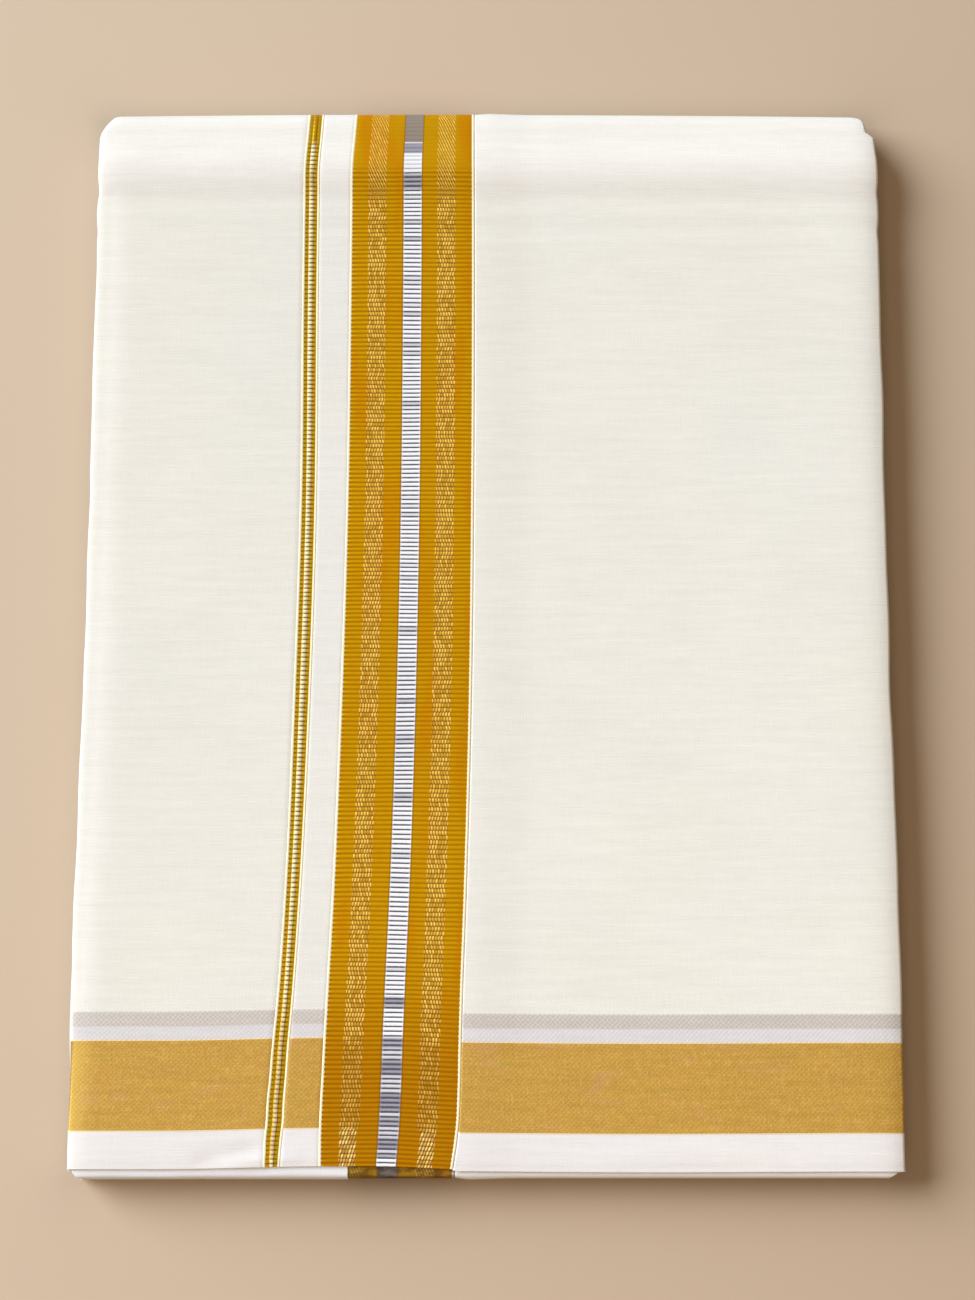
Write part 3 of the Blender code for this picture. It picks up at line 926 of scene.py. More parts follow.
@dataclass(frozen=True)
class CottonFinish(Finish):
    """Fine bleached cotton: plain weave, slubs along the weft and soft uneven tone."""

    colour: Colour = (0.862, 0.82, 0.725)
    # painted highlight where the top bulges over the far end and on the left fold; painted light,
    # lighter and cooler, where the cloth is wrapped round the near end
    painted_highlight: Colour = (0.935, 0.885, 0.82)
    wrapped: Colour = (0.97, 0.95, 0.955)
    # the painted highlights over the far end and on the left fold: from, to of the rise, and from,
    # to of the fall past it
    far_stretch: Table = ((388.0, 404.0), (434.0, 417.0))
    side_highlight: Table = ((137.0, 149.0), (150.5, 146.0))
    side_share: float = 0.8
    # where the painted light on the near end's wrapped cloth starts and is whole
    near_stretch: Pair = (842.0, 854.0)
    # unevenness of the weft and of the warp, and range of the tone and of a thread's shade
    slubs: Pair = (0.026, 0.018)
    mottle: Pair = (0.965, 1.035)
    mottle_scale: float = 0.02
    thread_shade: Pair = (0.975, 1.012)
    pitch: float = 0.62
    # fine lines along the weft and along the warp: their pitch, amounts and patches
    line_pitch: float = 1.25
    lines: Pair = (0.036, 0.026)
    weft_lines: Patches = Patches(0.12, 0.21, 0.55, 0.68)
    warp_lines: Patches = Patches(0.21, 0.12, 0.58, 0.70, 1.3)
    # share of the colour that is left where it is cooler, and the noise that this follows
    cooler: Colour = (0.993, 1.0, 1.02)
    cool_scale: float = 0.009
    cool_range: Pair = (0.35, 0.65)
    roughness: Pair = (0.93, 0.82)

    def look(self, cloth: Value) -> Look:
        """Work out the look: colour times slubs, mottling and weave, with painted highlights and
        painted light on the near end.

        Args:
            cloth: place on the cloth.

        Returns:
            The look.
        """
        across, along, _ = cloth.split()
        slubs, thickness = SLUBS.place(cloth, *self.slubs)
        over, thread = WEAVE.place(cloth, self.pitch, self.pitch)
        shade = slubs * cloth.noise(self.mottle_scale, 3.0).spread(*self.mottle)
        shade = shade * thread.spread(*self.thread_shade)
        patches = (self.weft_lines.mask(cloth), self.warp_lines.mask(cloth))
        for place, patch, amount in zip((along, across), patches, self.lines):
            shade = shade + (place * (math.tau / self.line_pitch)).sine() * patch * amount
        cool = tuple(part * factor for part, factor in zip(self.colour, self.cooler))
        warm = cloth.noise(self.cool_scale).step(*self.cool_range)
        colour = warm.mix(cool, self.colour)
        # painted highlight over the far end's bulge and on the left fold, then the painted light on
        # the near end's wrapped cloth
        (rise, fall), (side_rise, side_fall) = self.far_stretch, self.side_highlight
        side = across.step(*side_rise) * self.side_share * across.step(*side_fall)
        painted_highlight = (along.step(*rise) * along.step(*fall)).larger(side)
        colour = painted_highlight.mix(colour, self.painted_highlight)
        colour = shade.shade(along.step(*self.near_stretch).mix(colour, self.wrapped))
        roughness = thread.spread(*self.roughness)
        return Look(colour, roughness, 0.0, thickness.times(0.5, over))


@dataclass(frozen=True)
class TissueFinish(Finish):
    """Gold tissue of the end band: gold weft crossed by cotton warp, with a cream edge line."""

    bump: float = 0.05
    colour: Colour = (0.66, 0.385, 0.075)
    shadow: Colour = (0.49, 0.255, 0.03)
    glint: Colour = (0.86, 0.60, 0.20)
    rosy: Colour = (0.70, 0.36, 0.17)
    olive: Colour = (0.52, 0.37, 0.05)
    cream: Colour = (0.98, 0.86, 0.60)
    # share of the glints and of the tints, and where they are
    glint_share: float = 0.34
    tint_share: float = 0.30
    glint_patches: tuple[Patches, Patches] = (
        Patches(1.9, 0.28, 0.5, 0.75),
        Patches(0.24, 2.2, 0.5, 0.75),
    )
    rosy_patches: Patches = Patches(0.05, 0.09, 0.56, 0.70)
    olive_patches: Patches = Patches(0.04, 0.12, 0.60, 0.74, 1.3)
    # on the left fold: a painted highlight where it starts to bend, and painted shade where it
    # turns away from the light, with where each starts and is whole across the cloth, and its
    # share; and where both end
    bend_highlight: Colour = (0.80, 0.53, 0.11)
    bend_highlight_zone: Triple = (139.0, 147.0, 0.45)
    turned: Colour = (0.22, 0.12, 0.02)
    turned_shade_zone: Triple = (148.4, 149.2, 0.75)
    flap_end: Pair = (160.0, 152.0)
    # the edge lines, from, to along, and their share
    edge_lines: Table = ((14.0, 14.45), (48.5, 49.0))
    edge_share: float = 0.75
    edge_soft: float = 0.25
    # how much more of the gold shows on a thread that lies over, and how much always does
    lit: Pair = (0.45, 0.35)
    pitch: float = 0.95
    uneven: float = 0.3
    slubs: Pair = (0.06, 0.07)
    roughness: Pair = (0.70, 0.54)
    metallic: Pair = (0.10, 0.32)

    def look(self, cloth: Value) -> Look:
        """Work out the look: gold and shadow threads, streaks, patches of tint, edge lines.

        Args:
            cloth: place on the cloth.

        Returns:
            The look.
        """
        across, along, _ = cloth.split()
        over, thread = WEAVE.place(cloth, self.pitch, self.pitch, self.uneven)
        slubs, _ = SLUBS.place(cloth, *self.slubs)
        warp, weft = (patches.mask(cloth) for patches in self.glint_patches)
        colour = over.times(*self.lit).mix(self.shadow, self.colour)
        colour = (warp.larger(weft) * self.glint_share).mix(colour, self.glint)
        colour = (self.rosy_patches.mask(cloth) * self.tint_share).mix(colour, self.rosy)
        colour = (self.olive_patches.mask(cloth) * self.tint_share).mix(colour, self.olive)
        colour = slubs.shade(colour)
        # painted highlight and painted shade where the band turns over the left fold
        flap = across.step(*self.flap_end)
        for (start, whole, share), tone in (
            (self.bend_highlight_zone, self.bend_highlight),
            (self.turned_shade_zone, self.turned),
        ):
            colour = (across.step(start, whole) * share * flap).mix(colour, tone)
        first, last = (along.zone(*line, self.edge_soft) for line in self.edge_lines)
        colour = ((first + last) * self.edge_share).mix(colour, self.cream)
        roughness, metallic = thread.spread(*self.roughness), over.spread(*self.metallic)
        return Look(colour, roughness, metallic, over)


@dataclass(frozen=True)
class EndStripeFinish(Finish):
    """The end stripe: a white run beside the band, then a grey silver line of open mesh."""

    bump: float = 0.04
    white: Colour = (0.73, 0.69, 0.68)
    silver: Colour = (0.68, 0.615, 0.555)
    dark: Colour = (0.60, 0.54, 0.485)
    # the grey line: from, to along, and how softly it starts and ends
    line: Triple = (54.0, 59.4, 0.9)
    pitch: float = 0.95
    uneven: float = 0.35
    slubs: Pair = (0.03, 0.035)
    roughness: float = 0.7
    metallic: float = 0.25
    # how far over a thread lies where its mesh is dark, and where it is bright
    mesh_range: Pair = (0.2, 0.7)

    def look(self, cloth: Value) -> Look:
        """Work out the look: white cloth, and over it the grey line's crossed threads.

        Args:
            cloth: place on the cloth.

        Returns:
            The look.
        """
        over, _ = WEAVE.place(cloth, self.pitch, self.pitch, self.uneven)
        slubs, _ = SLUBS.place(cloth, *self.slubs)
        line = cloth.split()[1].zone(*self.line)
        mesh = over.step(*self.mesh_range).mix(self.dark, self.silver)
        colour = slubs.shade(line.mix(self.white, mesh))
        return Look(colour, self.roughness, line * self.metallic, over)


@dataclass(frozen=True)
class BorderPlace:
    """A place on a border: on its cloth, and on the rib that lies there."""

    cloth: Value
    across: Value
    along: Value
    # the rib's relief, 0 to 1, its number, and the place in it, 0 to 1
    crest: Value
    row: Value
    share: Value

    @classmethod
    def read(cls, cloth: Value, pitch: float) -> "BorderPlace":
        """Work the place out from the one on the cloth, for ribs of a pitch."""
        across, along, _ = cloth.split()
        return cls(cloth, across, along, *RIBS.place(across, along, pitch))


@dataclass(frozen=True)
class Gilt:
    """Gold of the wide border: amber drifts along it, and it is duller and redder by the hem."""

    gold: Colour = (0.665, 0.335, 0.004)
    # painted shade: the gold's colour in the valleys between the ribs
    valley: Colour = (0.46, 0.206, 0.001)
    amber: Colour = (0.70, 0.255, 0.003)
    amber_share: float = 0.75
    # darker and redder gold towards the hem, its valley colour, and its share
    hem_gold: Colour = (0.525, 0.210, 0.003)
    hem_valley: Colour = (0.38, 0.145, 0.001)
    hem_gold_share: float = 0.85
    # stretch of the noise that the amber follows, and noise where it starts and where it is whole
    drift: Pair = (0.09, 0.018)
    drift_range: Pair = (0.48, 0.66)
    # beside the selvedge there is more of it: by how much, from where across and where whole
    selvedge_amber: float = 0.06
    selvedge: Pair = (9.0, 2.0)
    # a brighter run of the cloth: its rise, its fall and its brightness
    lift: Table = ((200.0, 270.0), (400.0, 360.0))
    lift_range: Pair = (1.0, 1.06)
    thread_shade: Pair = (0.90, 1.09)
    # crest where the painted valley shade ends, and where the gold is whole
    crest_range: Pair = (0.02, 0.75)

    def colour(self, place: BorderPlace, thread: Value, crest: Value) -> Value:
        """Colour the gold, with painted shade in the valleys between its ribs.

        Args:
            place: the place on the border.
            thread: fine noise of the threads.
            crest: the rib's relief, evened out where the ribs lie flat.

        Returns:
            The colour.
        """
        drift = place.cloth.scaled(*self.drift).noise()
        amber = place.across.step(*self.selvedge).times(self.selvedge_amber, drift)
        amber = amber.step(*self.drift_range) * self.amber_share
        beside_hem = place.along.step(*BESIDE_HEM)
        gold = (beside_hem * self.hem_gold_share).mix(amber.mix(self.gold, self.amber), self.hem_gold)
        rise, fall = self.lift
        lift = place.along.step(*rise) * place.along.step(*fall)
        gold = lift.spread(*self.lift_range).shade(thread.spread(*self.thread_shade).shade(gold))
        # painted shade in the rib valleys
        valley = beside_hem.mix(self.valley, self.hem_valley)
        return crest.step(*self.crest_range).mix(valley, gold)


@dataclass(frozen=True)
class SilverStripe:
    """Silver stripe of the wide border: white ribs with thin dark lines between them.

    The lines, painted shade in the rib valleys, stop short of the stripe's sides. Some rows and
    some bands are duller, and it lies flat over the far end, where its grey is a painted dark
    reflection.
    """

    zone: Pair = (21.6, 29.1)
    # two tints that the ribs vary between
    tints: tuple[Colour, Colour] = ((0.965, 0.98, 1.0), (1.0, 0.97, 0.985))
    dull: Colour = (0.34, 0.32, 0.37)
    # painted shade of the lines in the rib valleys, and the painted dark reflection over the far
    # end
    valley: Colour = (0.11, 0.105, 0.14)
    flat: Colour = (0.26, 0.19, 0.135)
    dark_reflection_run: Pair = (415.4, 415.8)
    dark_reflection_share: float = 0.9
    # white noise of a row where it starts to be dull, and where it would be wholly so
    dull_rows: Pair = (0.80, 1.1)
    # along from, to, how much duller it is there; the bands from 395 on, over the far end, are
    # painted dark reflection
    dull_bands: Table = (
        (6.3, 10.6, 0.8), (14.8, 18.6, 0.6), (20.6, 27.4, 1.0), (34.4, 39.8, 1.0),
        (44.8, 48.7, 0.6), (60.0, 64.6, 0.9), (3.0, 49.0, 0.50), (140.0, 200.0, 0.12),
        (395.2, 401.4, 1.1), (410.6, 414.8, 1.4),
    )
    # the most that dullness comes to, and its share of the colour
    dull_most: float = 1.25
    dull_share: float = 0.75
    # crest where a dark line ends, on bright and on dull ribs, and its softness
    line_crest: Pair = (0.08, 0.28)
    line_soft: float = 0.32
    # how bright the lines are where the border is drawn tight
    tight_line: Pair = (0.62, 1.0)
    # how far the lines stop short, and their share at the sides and in the middle
    short: float = 0.5
    line_share: Pair = (0.65, 1.0)

    def colour(self, place: BorderPlace, crest: Value, jitter: Value, tight: Value) -> Value:
        """Colour the silver.

        Args:
            place: the place on the border.
            crest: the rib's relief.
            jitter: noise that varies along each rib.
            tight: share by which the border is drawn tight.

        Returns:
            The colour.
        """
        start, end = self.zone
        chance = place.row.speck(3.0).step(*self.dull_rows)
        dull = (chance + bands(place.along, self.dull_bands)).smaller(self.dull_most)
        dull = dull * self.dull_share
        ribs = dull.mix(jitter.mix(*self.tints), self.dull)
        low = dull.spread(*self.line_crest)
        line = crest.step(low, low + self.line_soft)
        line = tight.blend(line, line.spread(*self.tight_line))
        middle = place.across.zone(start + self.short, end - self.short, self.short)
        # the dark lines: painted shade in the rib valleys
        dark = (1.0 - line) * middle.spread(*self.line_share)
        colour = dark.mix(ribs, self.valley)
        # painted dark reflection where the stripe lies over the far end
        return (place.along.step(*self.dark_reflection_run) * self.dark_reflection_share).mix(colour, self.flat)


@dataclass(frozen=True)
class DashRows:
    """Dashes of two stripes of the wide border.

    Every rib carries a row of dashes. Each row is shifted by nearly half a dash against the last
    one, and now and then by a random step, so that the dashes run in chains that meet in lozenges.
    Near the hem all of them slant one way, and over the far end the other.
    """

    pitch: float = 1.1
    near_pitch: float = 1.16
    # places across of the two stripes, and of their narrower run near the hem
    zones: Table = ((7.8, 15.2), (36.1, 43.4))
    near_zones: Table = ((8.0, 13.7), (37.1, 43.3))
    # where along the cloth the run near the hem ends, and where the far end's starts and is whole
    near_end: float = 14.0
    far_start: Pair = (392.0, 396.0)
    # shift of every second row, in dashes, and how many rows lie between two random steps
    shift: float = 0.5
    leap_rows: float = 9.0
    # the rows' wandering: its noise's stretch across and scale, its amount, and that at both ends
    wander: Triple = (0.4, 0.45, 0.4)
    end_wander: float = 0.5
    # slant of the dashes, in dashes over a rib: radians from rib to rib, amount
    slant: Pair = (1.047, 0.25)
    # slant and shift from rib to rib near the hem, and over the far end
    near_slant: Pair = (0.42, 0.40)
    far_slant: Pair = (-0.75, -0.75)
    # a dash in its pitch: from, to, softness, and to over the far end
    width: Triple = (0.21, 0.74, 0.16)
    far_width: float = 0.62
    # a dash in its rib: from, to, and the least mask between two of them over the far end
    height: Pair = (0.10, 0.90)
    far_joined: float = 0.8
    # brightness of the faintest and of the brightest dash, and of the far end's faintest
    brightness: Pair = (0.25, 1.25)
    far_faintest: float = 0.6
    # along from, to, share of the brightness that is lost there, and over the far end
    dim_bands: Table = ((14.0, 47.0, 0.45),)
    far_dim: float = 0.2

    def masks(self, place: BorderPlace) -> tuple[Value, Value]:
        """Make the mask of the dashes and the mask of both stripes.

        Args:
            place: the place on the border.

        Returns:
            Both masks.
        """
        across, row, share = place.across, place.row, place.share
        near = place.along.below(self.near_end)
        stripes = near.blend(
            *(
                across.zone(*left) + across.zone(*right)
                for left, right in (self.zones, self.near_zones)
            )
        )
        far = place.along.step(*self.far_start)
        leap = (row / self.leap_rows).floor().speck(5.0)
        stretch, scale, amount = self.wander
        wander = row.vector(across * stretch).noise(scale, 1.0)
        shift = wander.times(amount, row.pingpong(1.0) * self.shift + leap)
        turn, amount = self.slant
        slant = (row * turn).sine() * amount
        for mask, (end_slant, end_shift) in ((near, self.near_slant), (far, self.far_slant)):
            shift = mask.blend(shift, row.times(end_shift, wander * self.end_wander))
            slant = mask.blend(slant, end_slant)
        dash = across / near.blend(self.pitch, self.near_pitch) + shift + share * slant
        start, end, soft = self.width
        wide = dash.fraction().zone(start, far.spread(end, self.far_width), soft)
        tall = share.zone(*self.height).larger(far * self.far_joined)
        faintest, brightest = self.brightness
        faintest = far.spread(faintest, self.far_faintest)
        mask = wide * tall * dash.floor().speck(row).spread(faintest, brightest)
        mask = mask * (1.0 - far.times(self.far_dim, bands(place.along, self.dim_bands)))
        return mask.smaller(1.0) * stripes, stripes


@dataclass(frozen=True)
class WideBorderFinish(Finish):
    """The wide zari border: seven stripes of gold, dashes and silver, ribbed across."""

    width: float = 50.9
    pitch: float = 1.8
    gilt: Gilt = Gilt()
    silver: SilverStripe = SilverStripe()
    dashes: DashRows = DashRows()
    cream: Colour = (0.97, 0.62, 0.135)
    bright_cream: Colour = (1.0, 0.76, 0.27)
    # where along the cloth the dashes get bright towards the hem
    bright_hem: Pair = (15.0, 13.5)
    gap: Colour = (0.16, 0.06, 0.001)
    # depth of the dark ground between dashes in a rib's valley and on its crest, deeper in the
    # valley as painted shade; where it gets shallower towards the far end, and by what
    gap_depth: Pair = (0.54, 0.16)
    shallow: Pair = (398.0, 410.0)
    shallow_share: Pair = (1.0, 0.5)
    cord: Colour = (1.0, 0.90, 0.64)
    cord_width: float = 1.0
    cord_soft: float = 0.16
    scallop: Pair = (-0.22, 0.11)
    # a fine dark line on each side of the silver: how far out, how far in, softness and share
    side_line: Triple = (0.5, 0.12, 0.25)
    side_share: float = 0.4
    # how much a rib's crest varies along it, over what stretch, and the stretch of the threads
    crest_range: Pair = (0.45, 1.35)
    crest_stretch: float = 0.22
    threads: Pair = (3.2, 0.9)
    # where the border is drawn tight over the far end, what a crest is there, and its share
    tight: Pair = (401.5, 405.0)
    flat_crest: Pair = (0.62, 0.88)
    # where it is wrapped under the near end; patches of shade there, range of the brightness, and
    # a grey with its share
    wrapped: Pair = (846.0, 858.0)
    shade_patches: Patches = Patches(0.22, 0.5, 0.40, 0.60)
    shade_range: Pair = (0.31, 0.62)
    shadow: Colour = (0.12, 0.12, 0.15)
    shadow_share: float = 0.1
    # metallic share and roughness of the gold and of the silver, and roughness of the cords
    metallic: Pair = (0.27, 0.12)
    roughness: Pair = (0.50, 0.52)
    cord_roughness: float = 0.7
    thread_height: float = 0.6

    def look(self, cloth: Value) -> Look:
        """Work out the look: gold ribs, then the dashes, the silver and the edge cords.

        Args:
            cloth: place on the cloth.

        Returns:
            The look.
        """
        place = BorderPlace.read(cloth, self.pitch)
        across, along = place.across, place.along
        jitter = (across * self.crest_stretch).vector(place.row).noise()
        ribbed = place.crest * jitter.spread(*self.crest_range)
        tight = along.step(*self.tight)
        flat_crest, flatness = self.flat_crest
        crest = (tight * flatness).blend(ribbed, flat_crest)
        thread = cloth.scaled(*self.threads).noise()

        colour = self.gilt.colour(place, thread, crest)
        dashes, stripes = self.dashes.masks(place)
        shallow = along.step(*self.shallow).spread(*self.shallow_share)
        # the ground's own dark weave, deeper in the rib valleys as painted shade
        ground = (crest.spread(*self.gap_depth) * shallow).mix(colour, self.gap)
        cream = along.step(*self.bright_hem).mix(self.cream, self.bright_cream)
        colour = dashes.mix(stripes.mix(colour, ground), cream)

        silver = across.zone(*self.silver.zone)
        colour = silver.mix(colour, self.silver.colour(place, ribbed, jitter, tight))
        cords, sides = self.edges(across, crest)
        colour = cords.mix((sides * self.side_share).mix(colour, self.gap), self.cord)

        wrapped = along.step(*self.wrapped)
        dim = self.shade_patches.mask(cloth).spread(*self.shade_range)
        colour = wrapped.blend(1.0, dim).shade(colour)
        colour = (wrapped * self.shadow_share).mix(colour, self.shadow)
        metallic = silver.blend(*self.metallic) * (1.0 - cords.larger(dashes))
        roughness = cords.blend(silver.blend(*self.roughness), self.cord_roughness)
        height = thread * self.thread_height + dashes
        return Look(colour, roughness, metallic, height)

    def edges(self, across: Value, crest: Value) -> tuple[Value, Value]:
        """Masks of the cords along both edges, and of a fine dark line on each side of the silver.

        The ribs make small scallops in the cords' inner sides.

        Args:
            across: distance across the border.
            crest: the rib's relief.

        Returns:
            Both masks.
        """
        width, cord, soft = self.width, self.cord_width, self.cord_soft
        scallop = crest.times(*self.scallop)
        right = (across + scallop).zone(-1.0, cord, soft)
        left = (across - scallop).zone(width - cord, width + 1.0, soft)
        start, end = self.silver.zone
        out, inward, soft = self.side_line
        sides = across.zone(start - out, start + inward, soft)
        return right + left, sides + across.zone(end - inward, end + out, soft)


@dataclass(frozen=True)
class NarrowBorderFinish(Finish):
    """The narrow zari border: gold ribs between cream cords, with cream beads down its middle."""

    bump: float = 0.03
    width: float = 6.9
    pitch: float = 1.8
    gold: Colour = (0.70, 0.36, 0.015)
    olive: Colour = (0.60, 0.365, 0.012)
    # painted shade: the gold's colour in the valleys between the ribs
    valley: Colour = (0.30, 0.16, 0.003)
    ground: Colour = (0.32, 0.21, 0.03)
    rosy: Colour = (0.50, 0.24, 0.07)
    bead: Colour = (1.0, 0.90, 0.60)
    cord: Colour = (1.0, 0.90, 0.62)
    cord_width: float = 0.98
    cord_soft: float = 0.12
    # half the width of a bead, and near the hem; softness of its sides; its place in a rib
    bead_half: Pair = (0.95, 0.66)
    bead_soft: float = 0.3
    bead_zone: Pair = (0.18, 0.82)
    # along from, to, share of the beads' brightness that is lost there; the band from 396 is
    # painted shade in the trough below the far end's bulge
    dim_beads: Table = ((3.0, 56.0, 0.35), (396.0, 403.0, 0.4))
    # where the beads get narrower towards the hem, and where the ground between them gets rosy
    narrow_beads: Pair = (120.0, 50.0)
    rosy_ground: Pair = (120.0, 20.0)
    # where the ribs end over the far end, and what a crest is past it, by a share
    smooth: Pair = (413.0, 417.0)
    flat_crest: Pair = (0.42, 0.9)
    # crest where the valley ends and where the gold is whole, and the stretch of the threads
    crest_range: Pair = (0.05, 0.6)
    threads: Pair = (3.0, 1.2)
    gold_patches: Patches = Patches(0.3, 0.05, 0.38, 0.62)
    # range of a thread's shade, of the gold's towards the hem and of the beads'
    thread_shade: Pair = (0.8, 1.15)
    hem_shade: Pair = (1.0, 0.84)
    bead_shade: Pair = (0.72, 1.0)
    # metallic share and roughness of the gold, and of the beads and cords
    metallic: Pair = (0.4, 0.0)
    roughness: Pair = (0.46, 0.85)

    def look(self, cloth: Value) -> Look:
        """Work out the look: ribs, beads and cords.

        Args:
            cloth: place on the cloth.

        Returns:
            The look.
        """
        place = BorderPlace.read(cloth, self.pitch)
        across, along, row = place.across, place.along, place.row
        smooth = along.step(*self.smooth)
        flat_crest, flatness = self.flat_crest
        crest = (smooth * flatness).blend(place.crest, flat_crest)
        thread = cloth.scaled(*self.threads).noise()
        gold = self.gold_patches.mask(cloth).mix(self.olive, self.gold)
        gold = thread.spread(*self.thread_shade).shade(gold)
        gold = along.step(*BESIDE_HEM).spread(*self.hem_shade).shade(gold)
        # painted shade in the rib valleys
        colour = crest.step(*self.crest_range).mix(self.valley, gold)
        middle = self.width / 2.0
        half = along.step(*self.narrow_beads).spread(*self.bead_half)
        column = across.zone(middle - half, half + middle, self.bead_soft) * (1.0 - smooth)
        beads = column * place.share.zone(*self.bead_zone)
        rosy = row.speck(4.0) * along.step(*self.rosy_ground)
        colour = column.mix(colour, rosy.mix(self.ground, self.rosy))
        bright = row.speck(9.0).spread(*self.bead_shade) * (1.0 - bands(along, self.dim_beads))
        colour = (beads * bright).mix(colour, self.bead)
        width, cord, soft = self.width, self.cord_width, self.cord_soft
        cords = across.zone(-1.0, cord, soft) + across.zone(width - cord, width + 1.0, soft)
        colour = cords.mix(colour, self.cord)
        plain = cords.larger(beads)
        roughness, metallic = plain.spread(*self.roughness), plain.spread(*self.metallic)
        return Look(colour, roughness, metallic, thread)


@dataclass(frozen=True)
class LayersFinish(Finish):
    """Cotton of the hidden lengths' folds, fine threads along each fold, on Object coordinates."""

    bump: float = 0.05
    # darker than the outer cotton: painted shade on the folded sides, which also keeps the light
    # they throw on the floor low
    colour: Colour = (0.66, 0.635, 0.585)
    pitch: float = 0.62
    # stretch of the streaks' noise and its shade, and the tone's scale and shade
    streaks: Triple = (0.5, 0.05, 2.4)
    streak_shade: Pair = (0.95, 1.05)
    tone_scale: float = 0.05
    tone_shade: Pair = (0.96, 1.04)
    roughness: float = 0.9
    weave_height: float = 0.4

    def where(self, tree: Tree) -> Value:
        """Place in the stack, in millimetres."""
        place = source(tree, "ShaderNodeTexCoord", "Object")
        return place.scaled(1.0 / METRES, 1.0 / METRES, 1.0 / METRES)

    def look(self, cloth: Value) -> Look:
        """Work out the look: cotton with fine streaks along the stack and uneven tone.

        Args:
            cloth: place in the stack.

        Returns:
            The look.
        """
        _, along, up = cloth.split()
        streak = cloth.scaled(*self.streaks).noise(1.0, 3.0)
        over, _ = WEAVE.place(along.vector(up), self.pitch, self.pitch)
        tone = cloth.noise(self.tone_scale, 3.0).spread(*self.tone_shade)
        colour = (streak.spread(*self.streak_shade) * tone).shade(self.colour)
        height = streak + over * self.weave_height
        return Look(colour, self.roughness, 0.0, height)


# ---- Pieces ----


@dataclass(frozen=True)
class SheetFacts:
    """The flat cut of a piece of cloth in millimetres, what it rests on, what is woven on to it."""

    width: float
    length: float
    rests_on: Names
    woven_on: tuple[Piece, ...] = ()


def settle(
    piece: Piece, material: Material, nodes: Names, facts: SheetFacts | None
) -> Piece:
    """Dress a piece, attach it to the body, hide the CAD nodes that it stands for, and log its
    faces.

    Args:
        piece: the finished object.
        material: its finish.
        nodes: the CAD nodes that it stands for.
        facts: its flat cut, if it is a sheet; its size is worked out but not used.

    Returns:
        The piece.
    """
    piece.data.materials.append(material)
    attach(piece, BODY)
    if nodes:
        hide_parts(*nodes)
    if facts:
        flat = (facts.width * METRES, facts.length * METRES)
    LOG.info("%s: %d faces", piece.name, len(piece.data.polygons))
    return piece


@dataclass(frozen=True)
class EndRow:
    """A run of the top length with one finish, from one distance to another along the cloth."""

    name: str
    label: str
    slot: str
    start: float
    end: float
    step: float
    raised: float = 0.0
    edge_thickness: float = 0.0


